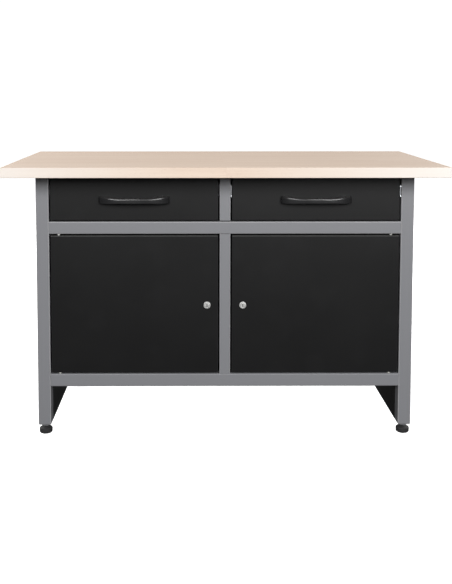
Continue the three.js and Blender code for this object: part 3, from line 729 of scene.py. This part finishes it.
# %% [markdown]
# ## Doors and their pivots
# Each door is a pan with its edge folded back on four sides. It hangs on two steel pins that turn in nylon
# bushes, which show as small pale dots above and below the door. A solid slab would look the same while it
# is shut, but an open door shows that it is hollow.

# %% Doors, pins and bushes
LOCK_X, LOCK_Z, FRONT_Y = 50 * MM, 370 * MM, -200 * MM
FRONT_BEND = 2.4 * MM
PIN_BORE, LOCK_BORE = 3.3, 8.8
TO_FRONT = Matrix.Rotation(math.pi / 2, 4, "X")
UPSIDE_DOWN = Matrix.Rotation(math.pi, 4, "X")
# the level of the door's edge at each pivot, its gap to the rail, and the turn of the pin and the bush
HINGES = (("upper", 566, 5, None), ("lower", 178, 4, UPSIDE_DOWN))


def pin_profile(gap):
    """A pin whose head sits in the door's edge and whose tip reaches over the gap into the rail."""
    return [(0, -4.5), (4.4, -4.5), (5.0, -4.0), (5.0, -1.75), (3.0, -1.75),
            (3.0, gap + 4.8), (2.3, gap + 5.5), (0, gap + 5.5)]


def bush_profile(gap):
    """A bush in the rail with a collar that fills most of the gap."""
    return [(PIN_BORE, gap - 3.75), (3.9, gap - 3.75), (4.2, gap - 3.45), (4.2, gap - 0.25),
            (4.8, gap - 0.25), (4.8, gap + 3.5), (PIN_BORE, gap + 3.5)]


for name, side in SIDES.items():
    door = folded(f"door_pan_{name}", f"door_{name}", ("back",), FRAME_SHEET, FRONT_BEND)
    pin_hole = moved(rod(PIN_BORE, 150, 600), (side * PIN_X, PIN_Y, 0))
    lock_hole = moved(rod(LOCK_BORE, -10, 10), (side * LOCK_X, FRONT_Y, LOCK_Z), TO_FRONT)
    bored(door, pin_hole, lock_hole)
    dress(door, f"door_{name}")
    for level, edge, gap, turn in HINGES:
        at = (side * PIN_X, PIN_Y, edge * MM)
        pin, bush = (moved(turned(profile(gap)), at, turn) for profile in (pin_profile, bush_profile))
        dress(linked(f"pivot_pin_{name}_{level}", pin), f"hinge_pin_{name}_{level}")
        dress(linked(f"nylon_bush_{name}_{level}", bush), f"pivot_bush_{name}_{level}")
print("doors:", named("door_pan"))

# %% [markdown]
# ## Locks
# Each door has a cam lock: a plated housing with a raised rim, a core with a keyway, a hexagon nut behind
# the sheet and a tongue. The housing and core are turned, and the keyway and two small nicks at the rim are
# cut out, which is simpler than a mesh that is drawn with its gaps. The keyway's own faces get a dark
# colour, a painted shade of the deep slot.

# %% Helpers: lock pieces
KEY_X, KEY_Z = 1.2, 4  # half the keyway's width and height
NICK_ANGLES, NICK_RADIUS, RIM_Y = (50, 130), 8.6, -2.5
NICK = ((-0.8, -1.6, -2.2), (0.8, 1.6, 2.2))
TIP_CUT = 1.5  # what both corners of a tongue's tip lose


def hexagon(across, z0, z1, bevel):
    """A hexagon block along Z with its corners taken off, sizes in millimetres."""
    bm = bmesh.new()
    bmesh.ops.create_cone(bm, cap_ends=True, segments=6, radius1=across * MM / math.sqrt(3),
                          radius2=across * MM / math.sqrt(3), depth=(z1 - z0) * MM)
    bmesh.ops.translate(bm, vec=(0, 0, (z0 + z1) / 2 * MM), verts=bm.verts)
    return eased(bm, bevel * MM, 2)


def tongue(reach, width, z0, z1):
    """A flat tongue along +Y with a round end at the lock's axis, sizes in millimetres."""
    half = width / 2
    turns = [math.pi + math.pi * i / 10 for i in range(11)]
    outline = [(half * math.cos(a), half * math.sin(a)) for a in turns]
    tip, shoulder = half - TIP_CUT, reach - TIP_CUT
    outline += [(half, shoulder), (tip, reach), (-tip, reach), (-half, shoulder)]
    bm = bmesh.new()
    lower, upper = ([bm.verts.new((x * MM, y * MM, z * MM)) for x, y in outline] for z in (z0, z1))
    bm.faces.new(lower)
    bm.faces.new(upper)
    for i in range(len(outline)):
        bm.faces.new((lower[i - 1], lower[i], upper[i], upper[i - 1]))
    bmesh.ops.recalc_face_normals(bm, faces=bm.faces)
    return bm


def rim_nick(at, angle):
    """A cutter for a small nick across the rim, at an angle round the lock."""
    turn = math.radians(angle)
    spot = Vector((math.cos(turn), 0, math.sin(turn))) * NICK_RADIUS * MM
    lean = Matrix.Rotation(math.radians(90 - angle), 4, "Y")
    return moved(block(*NICK), Vector(at) + spot + Vector((0, RIM_Y * MM, 0)), lean)


def in_keyway(face, at):
    """Whether a face of the core is one of the keyway's walls or its floor."""
    spot = face.center - Vector(at)
    wall = abs(spot.x) < (KEY_X + 0.01) * MM and abs(spot.z) < (KEY_Z + 0.01) * MM and face.normal.y > -0.9
    return wall or (abs(spot.x) < (KEY_X - 0.1) * MM and abs(spot.z) < (KEY_Z - 0.1) * MM and spot.y > 2 * MM)


print("keyway in mm:", 2 * KEY_X, "x", 2 * KEY_Z)

# %% Locks
HOUSING = [(6.3, -21.75), (8.5, -21.75), (8.5, 0.25), (10.0, 0.25), (10.0, 1.5), (9.6, 2.1),
           (8.9, 2.5), (7.0, 2.5), (6.5, 2.35), (6.3, 2.0)]
CORE = [(0, -21.75), (6.0, -21.75), (6.0, 1.5), (5.6, 2.0), (4.9, 2.2), (3.4, 2.2), (3.1, 1.9), (0, 1.9)]
NUT_BORE = 8.7
for name, side in SIDES.items():
    at = (side * LOCK_X, FRONT_Y, LOCK_Z)
    housing = linked(f"lock_housing_{name}", moved(turned(HOUSING, 48), at, TO_FRONT))
    bored(housing, *[rim_nick(at, angle) for angle in NICK_ANGLES])
    dress(housing, f"lock_body_{name}")
    core = linked(f"lock_core_{name}", moved(turned(CORE, 48), at, TO_FRONT))
    bored(core, moved(block((-KEY_X, -12, -KEY_Z), (KEY_X, 8, KEY_Z)), at))
    dress(core, f"lock_plug_{name}", look="core_nickel")
    # the keyway's walls and floor get the painted shade
    core.data.materials.append(finish["keyway"])
    for face in core.data.polygons:
        face.material_index = int(in_keyway(face, at))
    six_sided = hexagon(across=24, z0=-5.75, z1=-1.75, bevel=0.5)
    nut = linked(f"lock_hexagon_{name}", moved(six_sided, at, TO_FRONT))
    bored(nut, moved(rod(NUT_BORE, -9, 2), at, TO_FRONT))
    dress(nut, f"lock_nut_{name}")
    strip = tongue(reach=40, width=12, z0=-24, z1=-22)
    cam = linked(f"lock_tongue_{name}", moved(strip, at, TO_FRONT))
    dress(cam, f"lock_cam_{name}")

# %% [markdown]
# ## Drawers
# The drawer front is a pan like the doors. Behind it sits an open box of thinner sheet, whose front plate
# closes the back of the pan. The runners are channels of plated strip, one on the cabinet and a smaller one
# on the box. The bent front ends of the fixed channels show in the gaps beside the right drawer. A closed
# block would do for a shut drawer, but one that is pulled out shows its inside.

# %% Drawer fronts, boxes and runners
TRAY_X, TRAY_Y, TRAY_Z = (28, 476), (-183.25, 201.75), (617, 712)
TRAY_BEND = 2.0 * MM
RUNNER_SHEET, RUNNER_BEND = 1.25 * MM, 1.6 * MM
LUG_X = {"inner": (15.7, 18.2), "outer": (485.8, 488.3)}
LUG_BACK, LUG_BEND = -180.4, -190  # where a lug starts, and where its tips begin to lean
PLATE_EDGE = 0.3 * MM
# front, lean, low and high of a lug's web and of its two tips
LUG_BLOCKS = ((-193.5, 0, 677, 703), (-198, 0.65, 702, 705.2), (-198, 0.65, 674.8, 678))


def end_lug(x0, x1):
    """The bent front end of a fixed channel: a web and two tips that lean back a little."""
    parts = []
    for front, lean, low, high in LUG_BLOCKS:
        part = block((x0, front, low), (x1, LUG_BACK, high))
        for corner in part.verts:
            if corner.co.y < LUG_BEND * MM and corner.co.z > (low + high) / 2 * MM:
                corner.co.y += lean * MM
        parts.append(eased(part, PLATE_EDGE, 1))
    return parts


def runner_wall(name, row):
    """The side on which a drawer's outer or inner runner is fixed."""
    return name if row == "outer" else OTHER[name]


for name, side in SIDES.items():
    folded_piece(f"drawer_pan_{name}", f"drawer_front_{name}", ("back",), FRAME_SHEET, FRONT_BEND)
    node = f"drawer_box_{name}"
    x0, x1 = sorted(side * x * MM for x in TRAY_X)
    walls = [Vector((x, y * MM, z * MM)) for x, y, z in zip((x0, x1), TRAY_Y, TRAY_Z)]
    tray = folded_box(f"drawer_tray_{name}", walls, ("top",), PANEL_SHEET, TRAY_BEND)
    low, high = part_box(node)
    front_plate = box_mesh(low, (high.x, low.y + PANEL_SHEET, high.z))
    dress(with_parts(tray, eased(front_plate, PLATE_EDGE, 1)), node)
    for row in ("outer", "inner"):
        wall = runner_wall(name, row)
        fixed, sliding = f"cabinet_runner_{name}_{row}", f"drawer_runner_{name}_{row}"
        open_sides = (OTHER[wall], "front", "back")
        channel = folded(f"fixed_channel_{name}_{row}", fixed, open_sides, RUNNER_SHEET, RUNNER_BEND)
        if name == "right":
            channel = with_parts(channel, *end_lug(*LUG_X[row]))
        dress(channel, fixed)
        open_sides = (wall, "front", "back")
        folded_piece(f"sliding_channel_{name}_{row}", sliding, open_sides, RUNNER_SHEET, RUNNER_BEND)
print("drawer trays:", named("drawer_tray"))

# %% [markdown]
# ## Bow handles
# The moulded handle swells out of two feet, runs forward in a bow and is slimmest in the middle of the
# grip. It is lofted: the bow's front and back lines are Bezier curves, and a rounded section is set between
# them at many stations along the length. A bent cube with a subdivision surface would be quicker, but its
# feet would go soft.

# %% Helpers: the handle's shape
HANDLE_TOE = 72.0
FRONT_LINE = ((98.0, 6.5), (90.0, 25.5), (58.0, 33.0), (0.0, 33.0))
BACK_LINE = ((72.0, 0.0), (56.2, 18.0), (32.4, 24.0), (0.0, 24.0))
STATIONS = [98.0, 97.7, 97.0, 95.5, 92.0, 87.0, 82.0, 78.0, 75.0, 73.0, 72.0,
            71.0, 69.5, 67.0, 64.0, 60.0, 55.0, 48.0, 40.0, 30.0, 20.0, 10.0]
TOP, TOP_SWELL, BOTTOM, BOTTOM_SWELL = 8.5, 3.5, -7.0, -1.5  # the grip's height, and what its feet add to it
SWELL_FROM, SWELL_OVER = 30.0, 60.0
END_FROM, END_OVER, END_INSET = 95.5, 2.5, 2.4  # the rounding of both ends
EDGE_RADIUS, NOSE_RADIUS = 2.6, 6.5  # at most: a slim section has less


def bezier(a, b, c, d, t):
    """A point on a cubic Bezier curve."""
    s = 1 - t
    return tuple(s ** 3 * p + 3 * s * s * t * q + 3 * s * t * t * r + t ** 3 * u
                 for p, q, r, u in zip(a, b, c, d))


def depth_at(curve, x):
    """The height of a Bezier curve over a place along the handle, found by halving."""
    low, high = 0.0, 1.0
    for _ in range(40):
        t = (low + high) / 2
        low, high = (t, high) if bezier(*curve, t)[0] > x else (low, t)
    return bezier(*curve, low)[1]


def rounded_section(depth, height, radii, steps=6):
    """A rounded rectangle in depth and height, with a radius for each corner, as a closed list of points."""
    points = []
    for (cy, cz, start), radius in zip(((1, 1, 0), (-1, 1, 90), (-1, -1, 180), (1, -1, 270)), radii):
        for i in range(steps + 1):
            a = math.radians(start + 90 * i / steps)
            points.append((cy * (depth / 2 - radius) + radius * math.cos(a),
                           cz * (height / 2 - radius) + radius * math.sin(a)))
    return points


def bow_handle():
    """The handle about its own middle, with the drawer front at depth 0 and +Y away from it."""
    bm = bmesh.new()
    rings = []
    for x in STATIONS + [0.0] + [-s for s in reversed(STATIONS)]:
        along = abs(x)
        front = depth_at(FRONT_LINE, along)
        back = depth_at(BACK_LINE, along) if along < HANDLE_TOE else 0.0
        swell = min(1.0, max(0.0, (along - SWELL_FROM) / SWELL_OVER))
        swell *= swell * (3 - 2 * swell)
        top, bottom = TOP + TOP_SWELL * swell, BOTTOM + BOTTOM_SWELL * swell
        end = max(0.0, along - END_FROM) / END_OVER
        inset = END_INSET * (1 - math.sqrt(max(0.0, 1 - end * end)))
        depth = front - back - (inset if along > HANDLE_TOE else 0.0)
        height, level = top - bottom - 2 * inset, (top + bottom) / 2
        edge = min(EDGE_RADIUS, depth * 0.4, height * 0.25)
        nose = min(NOSE_RADIUS, depth * 0.56, height * 0.45)
        section = rounded_section(depth, height, (nose, edge, edge, edge))
        spots = [(x * MM, (back + depth / 2 + y) * MM, (level + z) * MM) for y, z in section]
        rings.append([bm.verts.new(spot) for spot in spots])
    for one, two in zip(rings, rings[1:]):
        for i in range(len(one)):
            j = (i + 1) % len(one)
            bm.faces.new((one[i], one[j], two[j], two[i]))
    bm.faces.new(rings[0])
    bm.faces.new(list(reversed(rings[-1])))
    bmesh.ops.recalc_face_normals(bm, faces=bm.faces)
    return bm


print("a handle has", len(STATIONS) * 2 + 1, "sections")

# %% [markdown]
# ## Handles and their screws
# Two pan head screws hold each handle from inside the drawer's front, so they are seen only in an open
# drawer. The screw is turned, and two crossed slits are cut into its head. A bump would be cheaper, but it
# has no depth close by.

# %% Bow handles and screws
HANDLE_Y, SCREW_Y = -200.25 * MM, -181.75 * MM
SCREW = [(0, -3.0), (2.6, -2.9), (3.6, -2.2), (4.0, -1.2), (4.0, 0), (2.0, 0), (2.0, 26.0),
         (1.5, 26.5), (0, 26.5)]
CROSS_SLITS = (((-2.2, 1.6, -0.4), (2.2, 5, 0.4)), ((-0.4, 1.6, -2.2), (0.4, 5, 2.2)))
TURN_ROUND = Matrix.Rotation(math.pi, 4, "Z")
for name in SIDES:
    node = f"drawer_handle_{name}"
    at = (middle(node).x, HANDLE_Y, middle(node).z)
    grip = linked(f"bow_handle_{name}", moved(bow_handle(), at, TURN_ROUND))
    dress(grip, node, smooth=50)
    for number in (1, 2):
        node = f"handle_screw_{name}_{number}"
        spot = (middle(node).x, SCREW_Y, middle(node).z)
        made = linked(f"pan_screw_{name}_{number}", moved(turned(SCREW, 24), spot, TO_FRONT))
        bored(made, *[moved(block(*slit), spot) for slit in CROSS_SLITS])
        dress(made, node)

# %% [markdown]
# ## Levelling feet
# A moulded pad with a groove round it, and a steel stud moulded in that screws into the leg. The stud's
# thread is drawn as fine rings: at this size a true helix would not be told apart, and rings stay closed
# without effort.

# %% Levelling feet
PAD = [(0, 0), (15.2, 0), (16.4, 0.4), (17.4, 1.3), (18.1, 2.6), (18.4, 4.2), (18.4, 5.6), (17.9, 6.0),
       (17.9, 6.8), (18.5, 7.2), (18.5, 11.8), (18.2, 12.9), (17.5, 13.9), (16.3, 14.6), (14.8, 14.9),
       (8.6, 15.0), (8.2, 15.8), (5.0, 15.9)]
THREAD = [(5.0 if i % 2 else 4.35, 16.6 + 0.75 * i) for i in range(60)]
STUD_END = [(4.0, 63.0), (0, 63.0)]
for foot in FEET:
    node = f"foot_{foot}"
    axis = (middle(node).x, middle(node).y, 0)
    made = linked(f"levelling_foot_{foot}", moved(turned(PAD + THREAD + STUD_END, 40), axis))
    dress(made, node, smooth=40, look="foot_plastic")
print("feet:", named("levelling_foot"))

# %% [markdown]
# ## Repeated pieces with Geometry Nodes
# Balls, bolts and rivets come in rows of the same piece, which is what Geometry Nodes are for. Each tree
# takes a mesh of loose points, sets a piece on every one and ends in real faces with a material. The sizes
# are named inputs of the tree, so one tree serves for any row. Copying objects in a loop would leave many
# small pieces.

# %% Helpers: trees that set a piece on each point
LENGTH, COUNT, GEOMETRY = "NodeSocketFloat", "NodeSocketInt", "NodeSocketGeometry"


def repeater(name, **sizes):
    """A tree with named sizes: the tree, what it is given, and the identifier of each size."""
    tree = bpy.data.node_groups.new(name, "GeometryNodeTree")
    tree.interface.new_socket("Points", in_out="INPUT", socket_type=GEOMETRY)
    marks = {}
    for label, kind in sizes.items():
        marks[label] = tree.interface.new_socket(label, in_out="INPUT", socket_type=kind).identifier
    tree.interface.new_socket("Pieces", in_out="OUTPUT", socket_type=GEOMETRY)
    return tree, place(tree, "NodeGroupInput").outputs, marks


def closed_off(tree, pieces, material):
    """Turns the instances into real faces with a material, at the end of a tree."""
    real = place(tree, "GeometryNodeRealizeInstances", {0: pieces})
    painted = place(tree, "GeometryNodeSetMaterial", {"Geometry": real, "Material": material})
    place(tree, "NodeGroupOutput", {0: painted})


def grown(name, tree, marks, sizes, points, facing):
    """A plain mesh object with the tree's piece on every point, each looking the way it faces."""
    mesh = bpy.data.meshes.new(name)
    mesh.from_pydata([tuple(point) for point in points], [], [])
    way = mesh.attributes.new("facing", "FLOAT_VECTOR", "POINT")
    way.data.foreach_set("vector", [value for one in facing for value in one])
    obj = linked(name, mesh)
    rows = obj.modifiers.new(tree.name, "NODES")
    rows.node_group = tree
    for label, value in sizes.items():
        rows[marks[label]] = value
    settle(obj)
    return obj


print("trees so far:", [t.name for t in bpy.data.node_groups if t.bl_idname == "GeometryNodeTree"])

# %% [markdown]
# ## Ball cages
# Between the two channels of each runner runs a thin cage with a row of steel balls above and below. The
# cage is a folded strip. Its balls could be set one by one, but a tree keeps their number and pitch as
# sizes: it draws a line of points at each row's middle and sets a ball on every point.

# %% Ball cages
BALL_SIZES = {"Balls": 4, "Pitch": 18 * MM, "Ball radius": 1.625 * MM}
BALL_DEPTH, BALL_LEVEL = 4.0 * MM, 11.875 * MM
CAGE_HALF, CAGE_SHEET, CAGE_BEND = 12.25 * MM, 0.75 * MM, 1.0 * MM

ball_tree, given, ball_marks = repeater(
    "ball_row", **{"Balls": COUNT, "Pitch": LENGTH, "Ball radius": LENGTH})
step_along = place(ball_tree, "ShaderNodeCombineXYZ", {"Y": given["Pitch"]})
gaps = sums(ball_tree, "SUBTRACT", given["Balls"], 1.0)
reach = sums(ball_tree, "MULTIPLY", gaps, given["Pitch"])
half = sums(ball_tree, "MULTIPLY", reach, -0.5)
first = place(ball_tree, "ShaderNodeCombineXYZ", {"Y": half})
row_sizes = {"Count": given["Balls"], "Start Location": first, "Offset": step_along}
line = place(ball_tree, "GeometryNodeMeshLine", row_sizes)
along = place(ball_tree, "GeometryNodeInstanceOnPoints", {"Points": given["Points"], "Instance": line})
spread = place(ball_tree, "GeometryNodeRealizeInstances", {0: along})
ball_sizes = {"Subdivisions": 3, "Radius": given["Ball radius"]}
ball = place(ball_tree, "GeometryNodeMeshIcoSphere", ball_sizes)
set_in = place(ball_tree, "GeometryNodeInstanceOnPoints", {"Points": spread, "Instance": ball})
closed_off(ball_tree, set_in, finish["zinc"])

for name in SIDES:
    row_middles, strips = [], []
    for row in ("outer", "inner"):
        node = f"ball_cage_{name}_{row}"
        low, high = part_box(node)
        wall = runner_wall(name, row)
        deep = low.x + BALL_DEPTH if wall == "left" else high.x - BALL_DEPTH
        row_middles += [(deep, middle(node).y, middle(node).z + up * BALL_LEVEL) for up in (1, -1)]
        low.z, high.z = middle(node).z - CAGE_HALF, middle(node).z + CAGE_HALF
        open_sides = (OTHER[wall], "front", "back")
        strips.append(folded_box(f"cage_strip_{row}", (low, high), open_sides, CAGE_SHEET, CAGE_BEND))
    facing = [(0, 1, 0)] * len(row_middles)
    balls = grown(f"ball_cages_{name}_piece", ball_tree, ball_marks, BALL_SIZES, row_middles, facing)
    for strip in strips:
        bm = bmesh.new()
        bm.from_mesh(strip.data)
        with_parts(balls, bm)
        bpy.data.objects.remove(strip)
    dress(balls, f"ball_cage_{name}_outer", f"ball_cage_{name}_inner")
    print(balls.name, len(balls.data.polygons), "faces")

# %% [markdown]
# ## Bolts in the side panels
# The side panels are bolted to the legs through their folded edges. A flange bolt is a hexagon on a round
# skirt. One bolt could be modelled and copied, but no two real bolts stop at the same angle, so the tree
# turns each one by a random angle with a fixed seed.

# %% Bolts
BOLT_SIZES = {"Across corners": 11.5 * MM, "Head height": 4.2 * MM, "Skirt radius": 7.0 * MM, "Seed": 7}
BOLT_X, BOLT_LEVELS = 503 * MM, (90, 300, 510, 690)

bolt_tree, given, bolt_marks = repeater(
    "flange_bolt", **{"Across corners": LENGTH, "Head height": LENGTH, "Skirt radius": LENGTH, "Seed": COUNT})


def cone(vertices, bottom, top, depth):
    """A cone or a prism in the bolt's tree."""
    sizes = {"Vertices": vertices, "Radius Bottom": bottom, "Radius Top": top, "Depth": depth}
    return place(bolt_tree, "GeometryNodeMeshCone", sizes)


def looking(tree):
    """The turn that points a piece's Z along the direction kept on each point."""
    way = place(tree, "GeometryNodeInputNamedAttribute", {"Name": "facing"}, data_type="FLOAT_VECTOR")
    vector = [s for s in way.outputs if s.name == "Attribute" and s.enabled][0]
    return place(tree, "FunctionNodeAlignRotationToVector", {"Vector": vector}, axis="Z")


def added(obj, body, smooth=35):
    """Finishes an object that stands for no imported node."""
    smoothed(obj, smooth)
    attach(obj, body)
    return obj


corner = sums(bolt_tree, "MULTIPLY", given["Across corners"], 0.5)
shoulder = sums(bolt_tree, "MULTIPLY", corner, 0.94)
top_edge = sums(bolt_tree, "MULTIPLY", corner, 0.84)
skirt = cone(28, given["Skirt radius"], corner, 1.3 * MM)
head = cone(6, corner, corner, given["Head height"])
crown = cone(24, shoulder, top_edge, 0.6 * MM)
lift = place(bolt_tree, "ShaderNodeCombineXYZ", {"Z": given["Head height"]})
raised_crown = place(bolt_tree, "GeometryNodeTransform", {"Geometry": crown, "Translation": lift})
whole = place(bolt_tree, "GeometryNodeJoinGeometry")
for part in (raised_crown, head, skirt):
    feed(bolt_tree, whole, {0: part})
chance = place(bolt_tree, "FunctionNodeRandomValue", {"Seed": given["Seed"]}, data_type="FLOAT")
most = [s for s in chance.inputs if s.name == "Max" and s.type == "VALUE"][0]
most.default_value = math.pi / 3
angle = [s for s in chance.outputs if s.type == "VALUE"][0]
spin = place(bolt_tree, "FunctionNodeAxisAngleToRotation", {"Axis": (0, 0, 1), "Angle": angle})
turns = {0: looking(bolt_tree), 1: spin}
turn_random = place(bolt_tree, "FunctionNodeRotateRotation", turns, rotation_space="LOCAL")
bolt_places = {"Points": given["Points"], "Instance": whole, "Rotation": turn_random}
closed_off(bolt_tree, place(bolt_tree, "GeometryNodeInstanceOnPoints", bolt_places), finish["zinc"])

spots, ways = [], []
for name, side in SIDES.items():
    low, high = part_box(f"side_panel_{name}")
    for z in BOLT_LEVELS:
        for y, way_y in ((low.y + PANEL_SHEET, 1), (high.y - PANEL_SHEET, -1)):
            spots.append((side * BOLT_X, y, z * MM))
            ways.append((0, way_y, 0))
bolts = added(grown("panel_bolts", bolt_tree, bolt_marks, BOLT_SIZES, spots, ways), "base")
print("bolts:", len(spots), "with", len(bolts.data.polygons), "faces")

# %% [markdown]
# ## Rivets in the back
# The back sheet is riveted to the centre wall and the rear rail. A rivet's head is a low dome. Half a ball
# would need a lid, so a whole one is flattened and cut level by moving its points, and it stays one closed
# mesh.

# %% Rivets
RIVET_SIZES = {"Head radius": 4.0 * MM, "Flatness": 0.42}
WALL_COLUMNS, WALL_LEVELS = (-8, 8), range(220, 720, 120)
RAIL_SPOTS, RAIL_LEVEL = range(-420, 421, 140), 156

rivet_tree, given, rivet_marks = repeater("dome_rivet", **{"Head radius": LENGTH, "Flatness": LENGTH})
ball_sizes = {"Segments": 20, "Rings": 10, "Radius": given["Head radius"]}
ball = place(rivet_tree, "GeometryNodeMeshUVSphere", ball_sizes)
parts = axes(rivet_tree, place(rivet_tree, "GeometryNodeInputPosition"))
low_dome = sums(rivet_tree, "MULTIPLY", parts["Z"], given["Flatness"])
level = sums(rivet_tree, "MAXIMUM", low_dome, 0.0)
together = place(rivet_tree, "ShaderNodeCombineXYZ", {"X": parts["X"], "Y": parts["Y"], "Z": level})
dome = place(rivet_tree, "GeometryNodeSetPosition", {"Geometry": ball, "Position": together})
rivet_places = {"Points": given["Points"], "Instance": dome, "Rotation": looking(rivet_tree)}
closed_off(rivet_tree, place(rivet_tree, "GeometryNodeInstanceOnPoints", rivet_places), finish["zinc"])

back_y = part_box("back_panel")[1].y
spots = [(x * MM, back_y, z * MM) for x in WALL_COLUMNS for z in WALL_LEVELS]
spots += [(x * MM, back_y, RAIL_LEVEL * MM) for x in RAIL_SPOTS]
rivets = grown("back_rivets", rivet_tree, rivet_marks, RIVET_SIZES, spots, [(0, 1, 0)] * len(spots))
added(rivets, "base", smooth=60)
print("rivets:", len(spots), "with", len(rivets.data.polygons), "faces")

# %% [markdown]
# ## The studio
# The photograph is a cut-out on white. A pale floor and a white sky that only the camera sees at full
# strength come close to it. The floor asks which kind of ray looks at it: the camera sees it white, a gloss
# sees it faintly, and it throws little light up under the worktop. It lies 12.5 mm low, so that a foot
# screwed right out stands on it and does not sink in.

# %% Floor and sky
DIM_LIGHT = 0.07  # what floor and sky keep for rays that don't come from the camera
FLOOR_DROP, FLOOR_HALF = -12.5 * MM, 14.0

floor_paint, tree = new_material("studio_floor")
where = place(tree, "ShaderNodeTexCoord").outputs
tone = place(tree, "ShaderNodeValToRGB", {0: noise(tree, where["Object"], 3.0)})
for stop, grey in zip(tone.color_ramp.elements, (0.90, 0.94)):
    stop.color = (grey, grey, grey, 1)
seen = place(tree, "ShaderNodeLightPath").outputs
bounce = ranged(tree, seen["Is Camera Ray"], to=(DIM_LIGHT, 1.0), shape="LINEAR")
away = place(tree, "ShaderNodeVectorMath", {0: where["Object"]}, operation="LENGTH").outputs["Value"]
fade = ranged(tree, away, 0.9, 3.0, to=(0.85, 1.12))
glow = sums(tree, "MULTIPLY", seen["Is Camera Ray"], fade)
mirrored = sums(tree, "MULTIPLY_ADD", seen["Is Glossy Ray"], 0.02, glow)
dimmed = scaled(tree, tone, bounce)
shade(tree, PRINCIPLED, {"Roughness": 0.9, "Specular IOR Level": 0.0, "Base Color": dimmed,
                         "Emission Color": tone, "Emission Strength": mirrored})
sheet = bmesh.new()
bmesh.ops.create_grid(sheet, x_segments=8, y_segments=8, size=FLOOR_HALF)
studio_floor = linked("studio_floor", moved(sheet, (0, 0, FLOOR_DROP)))
studio_floor.data.materials.append(floor_paint)

sky = bpy.data.worlds.new("white_sky")
bpy.context.scene.world = sky
sky.use_nodes = True
tree = sky.node_tree
seen = place(tree, "ShaderNodeLightPath").outputs
strength = ranged(tree, seen["Is Camera Ray"], to=(DIM_LIGHT, 1.05), shape="LINEAR")
shade(tree, "Background", {"Color": (1, 1, 1, 1), "Strength": strength})
bpy.context.scene.view_settings.view_transform = "Standard"
print("floor and sky ready")

# %% [markdown]
# ## Lights
# Two large soft lights stand at the front and one weak one hangs overhead. Four more stand at the sides and
# the rear corners, where the photograph does not show them, so that the bench can be looked at from all
# round. A bright sky alone would light it from every side too, but its folds would look flat.

# %% Lights
def softbox(name, at, towards, width, height, power):
    """A large soft light that looks at a place."""
    light = bpy.data.lights.new(name, "AREA")
    light.shape = "RECTANGLE"
    light.size, light.size_y, light.energy = width, height, power
    lamp = bpy.data.objects.new(name, light)
    lamp.location = at
    lamp.rotation_euler = (Vector(towards) - Vector(at)).to_track_quat("-Z", "Y").to_euler()
    bpy.context.scene.collection.objects.link(lamp)
    return lamp


softbox("front_left", (-1.2, -3.3, 1.95), (0, -0.2, 0.5), 2.0, 1.4, 72.0)
softbox("front_right", (1.3, -3.2, 1.75), (0, -0.2, 0.5), 2.0, 1.4, 82.0)
softbox("overhead", (-1.0, 0.0, 3.2), (-0.2, 0, 0), 2.6, 2.2, 18.0)
softbox("rear_left", (-2.9, 2.9, 1.7), (0, 0.2, 0.5), 2.0, 1.2, 130.0)
softbox("rear_right", (2.9, 2.9, 1.7), (0, 0.2, 0.5), 2.0, 1.2, 90.0)
softbox("side_left", (-3.3, 1.6, 1.2), (0, 0.1, 0.5), 1.4, 1.4, 60.0)
softbox("side_right", (3.3, 1.6, 1.2), (0, 0.1, 0.5), 1.4, 1.4, 60.0)

# %% [markdown]
# ## The camera
# The picture was taken with the camera held almost level, a little above the worktop, and the frame moved
# down over the bench afterwards. So the upright edges stay nearly upright. The lens shift does the same
# here. Tilting the camera alone would frame the bench too, but its legs would run together towards the
# floor.

# %% Camera
IMAGE_HEIGHT = 584
SENSOR = 36.0
FOCAL_PIXELS, SHIFT_PIXELS, SHIFT_ACROSS = 863.2, -140, 0.046
PITCH, YAW = 4.19, -0.29
STANDPOINT = (-0.084, -2.574, 0.973)
camera_data = bpy.data.cameras.new("photo_view")
camera_data.lens = FOCAL_PIXELS / IMAGE_HEIGHT * SENSOR
camera_data.shift_x = SHIFT_ACROSS
camera_data.shift_y = SHIFT_PIXELS / IMAGE_HEIGHT
camera = bpy.data.objects.new("photo_view", camera_data)
camera.location = STANDPOINT
camera.rotation_euler = (math.radians(90 - PITCH), 0, math.radians(YAW))
bpy.context.scene.collection.objects.link(camera)
bpy.context.scene.camera = camera
print("lens:", round(camera_data.lens, 1), "mm")
